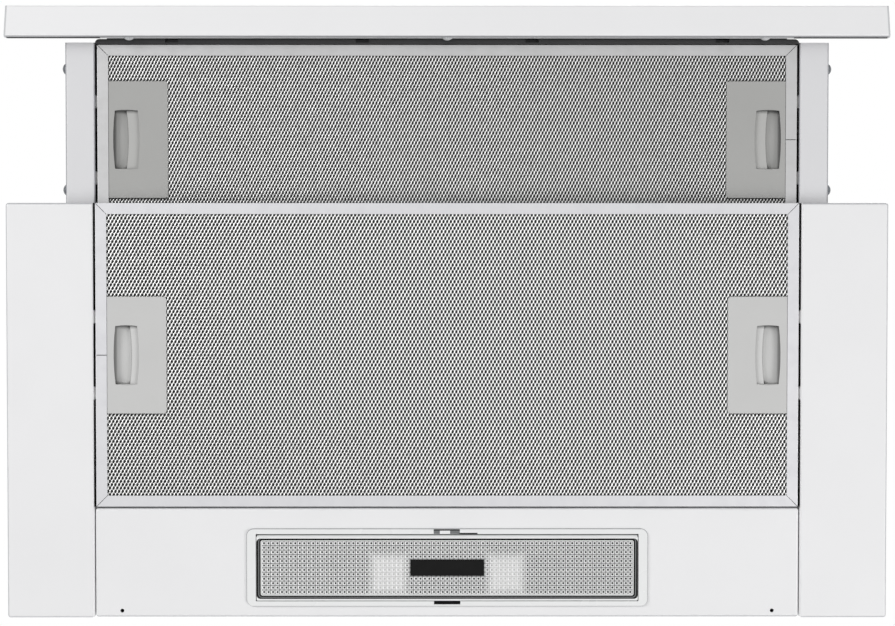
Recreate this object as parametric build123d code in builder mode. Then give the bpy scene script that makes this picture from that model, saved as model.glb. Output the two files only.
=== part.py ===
"""Slide-out range hood, white, 60 cm, with its drawer pulled out.

Units are millimetres. X runs along the width, Y from the fascia to the wall, Z upwards. The origin is
on the axis of the duct collar, at the foot of its tube. Pieces of the right half are drawn at +X and
mirrored to the left. The model is drawn with the drawer at the end of its travel.
"""

import os

from build123d import *

# Body
hood_width = 600.0
body_depth = 283.0
body_height = 175.0
sheet = 1.0
bend_radius = 1.8
side_panel_width = 59.5
panel_upturn = 14.0
panel_return = 12.0
rear_panel_depth = 75.0
rear_panel_inset = 0.5
panel_seam = 0.7
casing_side_setback = 30.0
casing_setback = 14.0
casing_flange = 10.0
rear_hole_radius = 1.35
rear_hole_side_inset = 18.7
rear_hole_inset = 4.4
cabinet_hole_radius = 2.75
cabinet_hole_spacing = 160.0
cabinet_hole_drop = 45.0
casing_screw_drops = (24.0, 92.0)
casing_screw_head = 3.8
casing_screw_dome = 1.6

# Duct collar and damper
collar_radius = 60.0
collar_wall = 2.0
collar_height = 37.0
collar_flange = 2.5
collar_flange_width = 150.0
collar_screw_inset = 9.0
collar_to_back = 141.5
flap_thickness = 1.6
flap_gap = 1.2
flap_axis_offset = 4.0
flap_axis_height = 12.0
flap_pin_radius = 1.6
flap_pin_depth = 1.2
pin_clearance = 0.06
centre_bar_width = 4.0
stop_ledge = 3.0
stop_ledge_height = 2.0
stop_ledge_gap = 8.0

# Filters
filter_gap = 1.3
filter_thickness = 8.5
fixed_filter_rear_gap = 1.0
drawer_filter_depth = 129.6
frame_strip = 7.6
frame_gauge = 0.7
frame_edge = 0.5
mesh_gauge = 0.5
mitre_gap = 0.35
seam_width = 0.5
seam_depth = 0.9
core_gap = 0.2

# Filter handles and latches
handle_width = 40.5
handle_length = 79.5
handle_wall = 1.4
handle_plate = 1.6
handle_ceiling = 1.2
handle_recess = 0.3
handle_corner = 2.0
fixed_window_inset = 5.8
drawer_window_inset = 4.4
fixed_window_width = 14.9
drawer_window_width = 15.7
window_length = 39.6
window_bulge = 1.2
latch_travel = 6.0
latch_clearance = 0.2
latch_inset = 0.9
latch_length = 27.0
latch_width = 61.0
latch_edge = 1.6
well_depth = 2.9
fixed_pad_width = 5.2
drawer_pad_width = 7.9
pad_bulge = 1.4
tongue_width = 8.0
tongue_offset = 26.0
tongue_reach = 4.4
tongue_thickness = 2.6
tongue_lift = 0.3
slot_clearance = 0.4
spring_gauge = 0.5
spring_width = 3.0
spring_half_span = 22.0

# Drawer
drawer_travel = 109.4
drawer_lift = 2.0
channel_width = 20.5
channel_height = 32.0
channel_length = 252.0
channel_to_fascia = 2.4
cover_length = 148.0
cover_clearance = 1.0
rear_bar_height = 12.0
rear_bar_depth = 8.0

# Telescopic slides
slide_height = 27.0
slide_thickness = 10.0
slide_length = 228.0
slide_gauge = 1.2
slide_clearance = 0.3
slide_start = 14.0
hanger_gauge = 1.2
hanger_flange = 14.0
hanger_lift = 3.0
hanger_start = 3.0
channel_screw_places = (17.2, 100.2, 212.0)
channel_screw_head = 4.5
channel_screw_dome = 3.4
channel_screw_height = 9.8
screw_shank = 1.6
screw_clearance = 0.1

# Fascia, front rail and switches
fascia_depth = 22.0
fascia_drop = 2.2
fascia_rise = 6.0
fascia_rear_lip = 9.0
fascia_top_return = 5.0
fascia_overlap = 1.6
fascia_end = 1.2
fascia_top_depth = 13.0
fascia_closed_gap = 2.6
fascia_screw_inset = 24.5
fascia_screw_height = 5.2
fascia_screw_head = 3.6
fascia_screw_dome = 1.8
boss_width = 11.0
boss_depth = 6.0
boss_lift = 3.4
boss_neck = 6.5
rail_depth = 3.4
rail_corner = 3.0
rail_shelf = 2.0
rail_gap = 0.4
rail_notch_inner = 58.0
rail_notch_inset = 28.0
rail_notch_width = 9.0
rail_notch_depth = 2.4
rail_notch_height = 4.0
switch_box_width = 96.0
switch_box_height = 22.0
switch_box_centre = 146.0
switch_box_gap = 1.5
button_names = ("off", "low", "medium", "high", "light")
button_pitch = 17.5
button_width = 13.0
button_depth = 9.0
button_height = 2.2
button_edge = 0.6
button_travel = 2.4
button_clearance = 0.4
button_stem = 4.0
button_stem_length = 7.0
button_floor = 0.8

# Lamp
lamp_setback = 34.0
lens_height = 6.0
lens_wall = 2.0
lens_drop = 1.6
lens_edge = 2.5
lens_gap = 0.5
lens_pin_radius = 1.0
lens_pin_length = 1.2
label_width = 50.3
label_depth = 11.2
label_thickness = 0.6
bezel_width = 273.0
bezel_depth = 52.5
bezel_end_margin = 6.5
bezel_long_margin = 3.75
bezel_corner = 4.5
bezel_flange = 1.4
bezel_wall = 1.2
bezel_height = 9.0
bezel_gap = 0.2
pry_notch_width = 18.0
pry_notch_depth = 2.2
pry_notch_height = 3.0
lamp_housing_height = 42.0
lamp_housing_wall = 1.0
bulb_radius = 16.0
bulb_neck_radius = 7.0
bulb_tip = 26.0
bulb_length = 80.0
bulb_headroom = 3.0
holder_radius = 11.0
holder_bore_depth = 6.0
holder_gap = 0.2

# Blower
scroll_radius = 50.0
scroll_wall = 2.0
scroll_half_width = 50.0
scroll_height = 76.0
scroll_seam = 0.2
outlet_half_depth = 33.0
inlet_radius = 33.0
impeller_radius = 39.5
impeller_offset = 3.0
impeller_half_width = 44.0
impeller_ring = 8.0
impeller_ring_width = 2.5
impeller_disc = 2.0
blade_count = 32
blade_gauge = 1.2
blade_tilt = 35.0
hub_radius = 9.0
hub_half_width = 12.0
shaft_radius = 4.0
shaft_seat = 14.0
motor_radius = 27.0
motor_length = 44.0
motor_cap_radius = 17.0
motor_cap_length = 8.0
bracket_gauge = 2.0
bracket_ring = 8.0
bracket_arm_width = 9.0
bracket_hub = 16.0
bracket_bore = 6.0

# Wiring
terminal_box_width = 84.0
terminal_box_depth = 52.0
terminal_box_height = 38.0
terminal_box_wall = 2.0
terminal_box_inset = 105.0
terminal_box_y = 70.0
gland_bore = 3.7
gland_radius = 8.0
gland_nut = 11.0
gland_nut_height = 5.0
gland_height = 14.0
gland_depth = 7.0

# Planes that several pieces share
half_width = hood_width / 2
opening_half = half_width - side_panel_width
rear_hole_half_spacing = opening_half - rear_hole_side_inset
y_back = collar_to_back
y_front = y_back - body_depth
y_mid = (y_front + y_back) / 2
y_casing_front = y_front + casing_setback
y_casing_back = y_back - rear_panel_inset - sheet
z_top = -collar_flange
z_ceiling = z_top - sheet
z_under = z_top - body_height
z_floor = z_under + sheet
z_lip = z_under + filter_thickness
z_drawer = z_lip + drawer_lift
z_channel_top = z_drawer + channel_height
z_cover = z_channel_top + sheet
z_hanger = z_channel_top + hanger_lift
casing_half = half_width - casing_side_setback
casing_width = 2 * casing_half
casing_inner = casing_half - sheet
terminal_box_x = casing_half - terminal_box_inset
casing_depth = y_casing_back - y_casing_front
screw_hole = screw_shank + screw_clearance

# Filters and drawer, in plan
filter_half = opening_half - filter_gap
y_lamp_panel = y_back - rear_panel_depth
y_fixed_rear = y_lamp_panel - fixed_filter_rear_gap
y_fixed_mid = (y_front + y_fixed_rear) / 2
y_fascia_rear = y_front - drawer_travel - fascia_closed_gap
y_fascia_front = y_fascia_rear - fascia_depth
y_channel = y_fascia_rear + channel_to_fascia
y_channel_rear = y_channel + channel_length
y_rail_rear = y_fascia_rear + rail_depth
y_drawer_filter = y_rail_rear + slide_clearance
y_drawer_filter_rear = y_drawer_filter + drawer_filter_depth
y_drawer_filter_mid = (y_drawer_filter + y_drawer_filter_rear) / 2
fascia_half = half_width - fascia_end
fascia_screw_offset = opening_half - fascia_screw_inset
rail_notch_places = (rail_notch_inner, fascia_screw_offset - rail_notch_inset)
z_fascia = z_under - fascia_drop
z_fascia_lip = z_fascia + fascia_rear_lip
z_fascia_top = z_channel_top + fascia_overlap
z_shelf = z_channel_top - rail_shelf

# Slides
channel_outer = opening_half + channel_width
slide_face = channel_outer - sheet
hanger_face = slide_face - slide_thickness
z_slide = z_drawer + (channel_height + sheet) / 2
z_channel_screw = z_drawer + channel_screw_height
y_slide = y_front + slide_start

# Latch places, measured inward from the filter's side
latch_start = frame_strip + latch_inset
latch_end = latch_start + latch_length
spring_end = frame_strip + handle_width - handle_wall
latch_base = handle_recess + handle_plate + latch_clearance
handle_top = filter_thickness - frame_gauge - core_gap
latch_height = handle_top - handle_ceiling - latch_clearance - latch_base
tongue_base = latch_base + tongue_lift

# Lamp and blower places
lens_width = bezel_width - 2 * bezel_end_margin
lens_depth = bezel_depth - 2 * bezel_long_margin
y_lamp = y_back - rear_panel_inset - lamp_setback
z_lens = z_under - lens_drop
y_hinge = y_lamp - lens_depth / 2 + lens_edge
z_hinge = z_lens + lens_edge
z_bulb = z_floor + lamp_housing_height - lamp_housing_wall - bulb_headroom - bulb_radius
y_scroll = outlet_half_depth - scroll_radius
z_scroll = z_ceiling - scroll_height
y_impeller = y_scroll - impeller_offset
z_impeller = z_scroll + impeller_offset
motor_face = scroll_half_width + bracket_gauge


def block(x, y, z, mode=Mode.ADD):
    """Add or cut the box between two limits on each axis.

    Args:
        x: Lower and upper limit along X.
        y: Lower and upper limit along Y.
        z: Lower and upper limit along Z.
        mode: How the box joins the part in hand.
    """
    with Locations(((x[0] + x[1]) / 2, (y[0] + y[1]) / 2, (z[0] + z[1]) / 2)):
        Box(x[1] - x[0], y[1] - y[0], z[1] - z[0], mode=mode)


def rod(start, axis, radius, length, mode=Mode.ADD):
    """Add or cut a round bar that starts at a point and runs along an axis.

    Args:
        start: Centre of the bar's first end.
        axis: Direction of the bar.
        radius: Radius of the bar.
        length: Length of the bar.
        mode: How the bar joins the part in hand.
    """
    with Locations(Plane(origin=start, z_dir=axis)):
        Cylinder(radius, length, align=(Align.CENTER, Align.CENTER, Align.MIN), mode=mode)


def left_of(part):
    """Return the mirror image of a right-hand piece.

    Args:
        part: The piece at +X.

    Returns:
        The same piece at -X.
    """
    with BuildPart() as twin:
        mirror(part, about=Plane.YZ)
    return twin.part


def pair_of(part):
    """Return a right-hand piece together with its mirror image.

    Args:
        part: The piece at +X.

    Returns:
        Both pieces as separate solids.
    """
    with BuildPart() as both:
        add(part)
        mirror(about=Plane.YZ)
    return both.part


def dome_screws(seats, head_radius, dome, shank_length):
    """Return screws with a domed head and a plain shank.

    Args:
        seats: Planes on the faces that the heads sit on, pointing out of the face.
        head_radius: Radius of the head.
        dome: Height of the head.
        shank_length: Length of the shank below the head.

    Returns:
        The screws as separate solids.
    """
    with BuildPart() as screw:
        with BuildSketch(Plane.XZ):
            with BuildLine():
                TangentArc((0, dome), (head_radius, 0), tangent=(1, 0))
                Polyline(
                    (head_radius, 0),
                    (screw_shank, 0),
                    (screw_shank, -shank_length),
                    (0, -shank_length),
                    (0, dome),
                )
            make_face()
        revolve(axis=Axis.Z)
    with BuildPart() as screws:
        with Locations(seats):
            add(screw.part)
    return screws.part


# Base panels: shallow folded trays on both sides of the filter opening
with BuildPart() as base_panel:
    with BuildSketch(Plane.XY.offset(z_under)):
        with Locations((opening_half + side_panel_width / 2, y_mid)):
            RectangleRounded(side_panel_width, body_depth, bend_radius)
    extrude(amount=panel_upturn)
    fillet(base_panel.edges().group_by(Axis.Z)[0], bend_radius)
    offset(amount=-sheet, openings=base_panel.faces().sort_by(Axis.Z)[-1])
    # The inner and front lips stay below the drawer.
    block(
        (opening_half - sheet, half_width - sheet),
        (y_front - sheet, y_back - sheet),
        (z_lip, z_under + 2 * panel_upturn),
        Mode.SUBTRACT,
    )
    # The outer lip folds back inward, which gives the cabinet's side a seat.
    block(
        (half_width - panel_return, half_width - sheet / 2),
        (y_front + bend_radius, y_back - bend_radius),
        (z_under + panel_upturn - sheet, z_under + panel_upturn),
    )
    for y_slot in (y_fixed_mid - tongue_offset, y_fixed_mid + tongue_offset):
        block(
            (opening_half - sheet, opening_half + 2 * sheet),
            (y_slot - tongue_width / 2 - slot_clearance, y_slot + tongue_width / 2 + slot_clearance),
            (
                z_under + tongue_base - slot_clearance,
                z_under + tongue_base + tongue_thickness + slot_clearance,
            ),
            Mode.SUBTRACT,
        )

# Lamp panel: a tray behind the fixed filter, with the lamp's cut-out
bezel_open_x = lens_width + 2 * lens_gap
bezel_open_y = lens_depth + 2 * lens_gap
panel_rear = y_back - rear_panel_inset
with BuildPart() as lamp_panel:
    with BuildSketch(Plane.XY.offset(z_under)):
        with Locations((0, (y_lamp_panel + panel_rear) / 2)):
            RectangleRounded(2 * (opening_half - panel_seam), panel_rear - y_lamp_panel, bend_radius)
    extrude(amount=panel_upturn)
    fillet(lamp_panel.edges().group_by(Axis.Z)[0], bend_radius)
    offset(amount=-sheet, openings=lamp_panel.faces().sort_by(Axis.Z)[-1])
    block(
        (-opening_half, opening_half),
        (y_lamp_panel - sheet, panel_rear - sheet),
        (z_lip, z_under + 2 * panel_upturn),
        Mode.SUBTRACT,
    )
    with BuildSketch(Plane.XY.offset(z_under)):
        with Locations((0, y_lamp)):
            Rectangle(
                bezel_open_x + 2 * (bezel_wall + bezel_gap),
                bezel_open_y + 2 * (bezel_wall + bezel_gap),
            )
        with Locations(
            (-rear_hole_half_spacing, panel_rear - rear_hole_inset),
            (rear_hole_half_spacing, panel_rear - rear_hole_inset),
        ):
            Circle(rear_hole_radius)
    extrude(amount=sheet, mode=Mode.SUBTRACT)

# Casing: five plates around the blower
y_front_screws = y_casing_front + sheet + casing_flange / 2
y_back_screws = y_casing_back - sheet - casing_flange / 2
z_flange = z_hanger + hanger_flange + hanger_lift
collar_screw_place = collar_flange_width / 2 - collar_screw_inset

with BuildPart() as casing_top:
    with BuildSketch(Plane.XY.offset(z_ceiling)):
        with Locations((0, (y_casing_front + y_casing_back) / 2)):
            Rectangle(casing_width, casing_depth)
        Circle(collar_radius - collar_wall, mode=Mode.SUBTRACT)
        with Locations((terminal_box_x, terminal_box_y)):
            Circle(gland_radius + screw_clearance, mode=Mode.SUBTRACT)
        with GridLocations(2 * collar_screw_place, 2 * collar_screw_place, 2, 2):
            Circle(screw_hole, mode=Mode.SUBTRACT)
    extrude(amount=sheet)

with BuildPart() as casing_side:
    block((casing_inner, casing_half), (y_casing_front, y_casing_back), (z_floor, z_ceiling))
    block(
        (casing_half, casing_half + casing_flange),
        (y_casing_front, y_casing_back),
        (z_floor, z_floor + sheet),
    )
    for y_hole in (-cabinet_hole_spacing / 2, cabinet_hole_spacing / 2):
        rod(
            (casing_inner - sheet, y_hole, z_top - cabinet_hole_drop),
            (1, 0, 0),
            cabinet_hole_radius,
            3 * sheet,
            Mode.SUBTRACT,
        )
    for drop in casing_screw_drops:
        for y_hole in (y_front_screws, y_back_screws):
            rod((casing_inner - sheet, y_hole, z_top - drop), (1, 0, 0), screw_hole, 3 * sheet, Mode.SUBTRACT)

with BuildPart() as casing_front:
    block(
        (-casing_inner, casing_inner),
        (y_casing_front, y_casing_front + sheet),
        (z_cover + cover_clearance, z_ceiling),
    )
    for x_flange in ((-casing_inner, -casing_inner + sheet), (casing_inner - sheet, casing_inner)):
        block(x_flange, (y_casing_front, y_casing_front + sheet + casing_flange), (z_flange, z_ceiling))
    for drop in casing_screw_drops:
        rod(
            (-casing_half, y_front_screws, z_top - drop), (1, 0, 0), screw_hole, casing_width, Mode.SUBTRACT
        )

with BuildPart() as casing_rear:
    block(
        (-casing_inner, casing_inner),
        (y_casing_back - sheet, y_casing_back),
        (z_lip + slide_clearance, z_ceiling),
    )
    for x_flange in ((-casing_inner, -casing_inner + sheet), (casing_inner - sheet, casing_inner)):
        block(x_flange, (y_casing_back - sheet - casing_flange, y_casing_back), (z_flange, z_ceiling))
    for drop in casing_screw_drops:
        rod((-casing_half, y_back_screws, z_top - drop), (1, 0, 0), screw_hole, casing_width, Mode.SUBTRACT)

casing_seats = [
    Plane(origin=(side * casing_half, y_seat, z_top - drop), z_dir=(side, 0, 0))
    for side in (-1, 1)
    for y_seat in (y_front_screws, y_back_screws)
    for drop in casing_screw_drops
]
collar_seats = [
    Plane(origin=(x_sign * collar_screw_place, y_sign * collar_screw_place, 0), z_dir=(0, 0, 1))
    for x_sign in (-1, 1)
    for y_sign in (-1, 1)
]
casing_screws = dome_screws(
    casing_seats + collar_seats, casing_screw_head, casing_screw_dome, collar_flange + 2 * sheet
)

# Slides: a hanger and a fixed rail on the casing, a middle rail, a moving rail on the drawer's channel
with BuildPart() as hanger:
    with BuildSketch(Plane.XZ.offset(-(y_slide + slide_length))):
        with BuildLine():
            FilletPolyline(
                (casing_inner, z_hanger + hanger_flange),
                (casing_inner, z_hanger),
                (hanger_face, z_hanger),
                (hanger_face, z_slide - slide_height / 2),
                radius=bend_radius,
            )
            offset(amount=hanger_gauge, side=Side.RIGHT)
        make_face()
    extrude(amount=slide_length - hanger_start)

fixed_rail_end = slide_face - slide_clearance
middle_face = hanger_face + slide_gauge + slide_clearance
middle_half = slide_height / 2 - slide_gauge - slide_clearance
moving_half = middle_half - slide_gauge - slide_clearance
y_middle = y_slide - drawer_travel / 2
y_moving = y_slide - drawer_travel

with BuildPart() as fixed_rail:
    block(
        (hanger_face, fixed_rail_end),
        (y_slide, y_slide + slide_length),
        (z_slide - slide_height / 2, z_slide + slide_height / 2),
    )
    block(
        (hanger_face + slide_gauge, slide_face),
        (y_slide, y_slide + slide_length),
        (z_slide - slide_height / 2 + slide_gauge, z_slide + slide_height / 2 - slide_gauge),
        Mode.SUBTRACT,
    )

with BuildPart() as middle_rail:
    block(
        (middle_face, slide_face - slide_gauge - slide_clearance),
        (y_middle, y_middle + slide_length),
        (z_slide - middle_half, z_slide + middle_half),
    )
    block(
        (middle_face + slide_gauge, slide_face),
        (y_middle, y_middle + slide_length),
        (z_slide - middle_half + slide_gauge, z_slide + middle_half - slide_gauge),
        Mode.SUBTRACT,
    )

with BuildPart() as moving_rail:
    block(
        (middle_face + slide_gauge + slide_clearance, slide_face),
        (y_moving, y_moving + slide_length),
        (z_slide - moving_half, z_slide + moving_half),
    )
    block(
        (middle_face, slide_face - slide_gauge),
        (y_moving, y_moving + slide_length),
        (z_slide - moving_half + slide_gauge, z_slide + moving_half - slide_gauge),
        Mode.SUBTRACT,
    )
    for place in channel_screw_places:
        rod(
            (slide_face - 2 * slide_gauge, y_channel + place, z_channel_screw),
            (1, 0, 0),
            screw_hole,
            4 * slide_gauge,
            Mode.SUBTRACT,
        )

# Drawer: two upright channels joined by the front rail and the rear bar
with BuildPart() as channel:
    with BuildSketch(Plane.XZ.offset(-y_channel_rear)):
        with BuildLine():
            FilletPolyline(
                (opening_half, z_channel_top),
                (opening_half, z_drawer),
                (channel_outer, z_drawer),
                (channel_outer, z_channel_top),
                radius=bend_radius,
            )
            offset(amount=sheet, side=Side.LEFT)
        make_face()
    extrude(amount=channel_length)
    for y_slot in (y_drawer_filter_mid - tongue_offset, y_drawer_filter_mid + tongue_offset):
        block(
            (opening_half - sheet, opening_half + 2 * sheet),
            (y_slot - tongue_width / 2 - slot_clearance, y_slot + tongue_width / 2 + slot_clearance),
            (
                z_drawer + tongue_base - slot_clearance,
                z_drawer + tongue_base + tongue_thickness + slot_clearance,
            ),
            Mode.SUBTRACT,
        )
    for place in channel_screw_places:
        rod(
            (slide_face - sheet, y_channel + place, z_channel_screw),
            (1, 0, 0),
            screw_hole,
            3 * sheet,
            Mode.SUBTRACT,
        )

channel_seats = [
    Plane(origin=(side * channel_outer, y_channel + place, z_channel_screw), z_dir=(side, 0, 0))
    for side in (-1, 1)
    for place in channel_screw_places
]
channel_screws = dome_screws(
    channel_seats, channel_screw_head, channel_screw_dome, sheet + slide_gauge + slide_gauge
)

with BuildPart() as rear_bar:
    y_bar = y_drawer_filter_rear + slide_clearance
    block(
        (-opening_half, opening_half),
        (y_bar, y_bar + rear_bar_depth),
        (z_drawer, z_drawer + rear_bar_height),
    )
    block(
        (-opening_half, opening_half),
        (y_bar + sheet, y_bar + rear_bar_depth),
        (z_drawer + sheet, z_drawer + rear_bar_height - sheet),
        Mode.SUBTRACT,
    )

with BuildPart() as drawer_cover:
    block(
        (-opening_half - sheet, opening_half + sheet),
        (y_channel, y_channel + cover_length),
        (z_channel_top, z_cover),
    )

# Fascia: a folded bar with flat end caps
with BuildPart() as fascia:
    with BuildSketch(Plane.YZ.offset(-fascia_half)):
        with BuildLine():
            FilletPolyline(
                (y_fascia_rear, z_fascia_lip),
                (y_fascia_rear, z_fascia),
                (y_fascia_front, z_fascia + fascia_rise),
                (y_fascia_front, z_fascia_top),
                (y_fascia_front + fascia_top_return, z_fascia_top),
                radius=bend_radius,
            )
            offset(amount=sheet, side=Side.RIGHT)
        make_face()
    extrude(amount=2 * fascia_half)
    for x_hole in (-fascia_screw_offset, 0, fascia_screw_offset):
        rod(
            (x_hole, y_fascia_rear - 2 * sheet, z_fascia + fascia_screw_height),
            (0, 1, 0),
            screw_hole,
            4 * sheet,
            Mode.SUBTRACT,
        )

with BuildPart() as end_cap:
    with BuildSketch(Plane.YZ.offset(fascia_half)) as cap_outline:
        with BuildLine():
            Polyline(
                (y_fascia_rear, z_fascia),
                (y_fascia_front, z_fascia + fascia_rise),
                (y_fascia_front, z_fascia_top),
                (y_fascia_front + fascia_top_depth, z_fascia_top),
                (y_fascia_rear, z_fascia_lip),
                close=True,
            )
        make_face()
        fillet(cap_outline.vertices(), bend_radius)
    extrude(amount=fascia_end)

fascia_screws = dome_screws(
    [
        Plane(origin=(x_seat, y_fascia_rear, z_fascia + fascia_screw_height), z_dir=(0, 1, 0))
        for x_seat in (-fascia_screw_offset, 0, fascia_screw_offset)
    ],
    fascia_screw_head,
    fascia_screw_dome,
    sheet + boss_depth,
)

# Front rail: upright plate behind the fascia, shelf over it, bosses for the fascia's screws
y_button = y_fascia_front + (fascia_depth + fascia_top_return) / 2
button_places = [
    switch_box_centre + (index - (len(button_names) - 1) / 2) * button_pitch
    for index in range(len(button_names))
]
window_x = button_width + 2 * button_clearance
window_y = button_depth + 2 * button_clearance
with BuildPart() as front_rail:
    with BuildSketch(Plane.XY.offset(z_drawer)) as plate_outline:
        with Locations((0, (y_fascia_rear + y_rail_rear) / 2)):
            Rectangle(2 * opening_half, rail_depth)
        fillet(plate_outline.vertices().group_by(Axis.Y)[0], rail_corner)
    extrude(amount=channel_height)
    block(
        (-fascia_half + rail_gap, fascia_half - rail_gap),
        (y_fascia_front + sheet + rail_gap, y_fascia_front + fascia_top_depth),
        (z_shelf, z_channel_top),
    )
    block(
        (-opening_half + rail_corner, opening_half - rail_corner),
        (y_fascia_front + sheet + rail_gap, y_fascia_rear + rail_depth / 2),
        (z_shelf, z_channel_top),
    )
    for x_boss in (-fascia_screw_offset, 0, fascia_screw_offset):
        boss_span = (x_boss - boss_width / 2, x_boss + boss_width / 2)
        block(
            boss_span,
            (y_fascia_rear - sheet - boss_depth, y_fascia_rear - sheet),
            (z_fascia + boss_lift, z_drawer + boss_neck),
        )
        block(
            boss_span,
            (y_fascia_rear - sheet - boss_depth, y_fascia_rear + rail_depth / 2),
            (z_drawer, z_drawer + boss_neck),
        )
        rod(
            (x_boss, y_fascia_rear, z_fascia + fascia_screw_height),
            (0, -1, 0),
            screw_shank,
            sheet + boss_depth + rail_gap,
            Mode.SUBTRACT,
        )
    for place in rail_notch_places:
        for x_notch in (-place, place):
            block(
                (x_notch - rail_notch_width / 2, x_notch + rail_notch_width / 2),
                (y_fascia_rear, y_fascia_rear + rail_notch_depth),
                (z_drawer, z_drawer + rail_notch_height),
                Mode.SUBTRACT,
            )
    for x_button in button_places:
        block(
            (x_button - window_x / 2, x_button + window_x / 2),
            (y_button - window_y / 2, y_button + window_y / 2),
            (z_shelf, z_channel_top),
            Mode.SUBTRACT,
        )

pocket_depth = button_travel + button_floor
stem_hole = button_stem + 2 * button_clearance
with BuildPart() as switch_box:
    block(
        (switch_box_centre - switch_box_width / 2, switch_box_centre + switch_box_width / 2),
        (y_fascia_front + sheet + switch_box_gap, y_fascia_rear - sheet - switch_box_gap),
        (z_shelf - switch_box_height, z_shelf),
    )
    for x_button in button_places:
        block(
            (x_button - window_x / 2, x_button + window_x / 2),
            (y_button - window_y / 2, y_button + window_y / 2),
            (z_shelf - pocket_depth, z_shelf),
            Mode.SUBTRACT,
        )
        block(
            (x_button - stem_hole / 2, x_button + stem_hole / 2),
            (y_button - stem_hole / 2, y_button + stem_hole / 2),
            (z_shelf - button_stem_length - pocket_depth, z_shelf),
            Mode.SUBTRACT,
        )


def push_button(x_button):
    """Return one push button with its stem.

    Args:
        x_button: Place of the button along the rail.

    Returns:
        The button at its upper stop.
    """
    with BuildPart() as button:
        block(
            (x_button - button_width / 2, x_button + button_width / 2),
            (y_button - button_depth / 2, y_button + button_depth / 2),
            (z_shelf, z_channel_top + button_height),
        )
        fillet(button.edges().group_by(Axis.Z)[-1], button_edge)
        block(
            (x_button - button_stem / 2, x_button + button_stem / 2),
            (y_button - button_stem / 2, y_button + button_stem / 2),
            (z_shelf - button_stem_length, z_shelf),
        )
    return button.part


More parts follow.
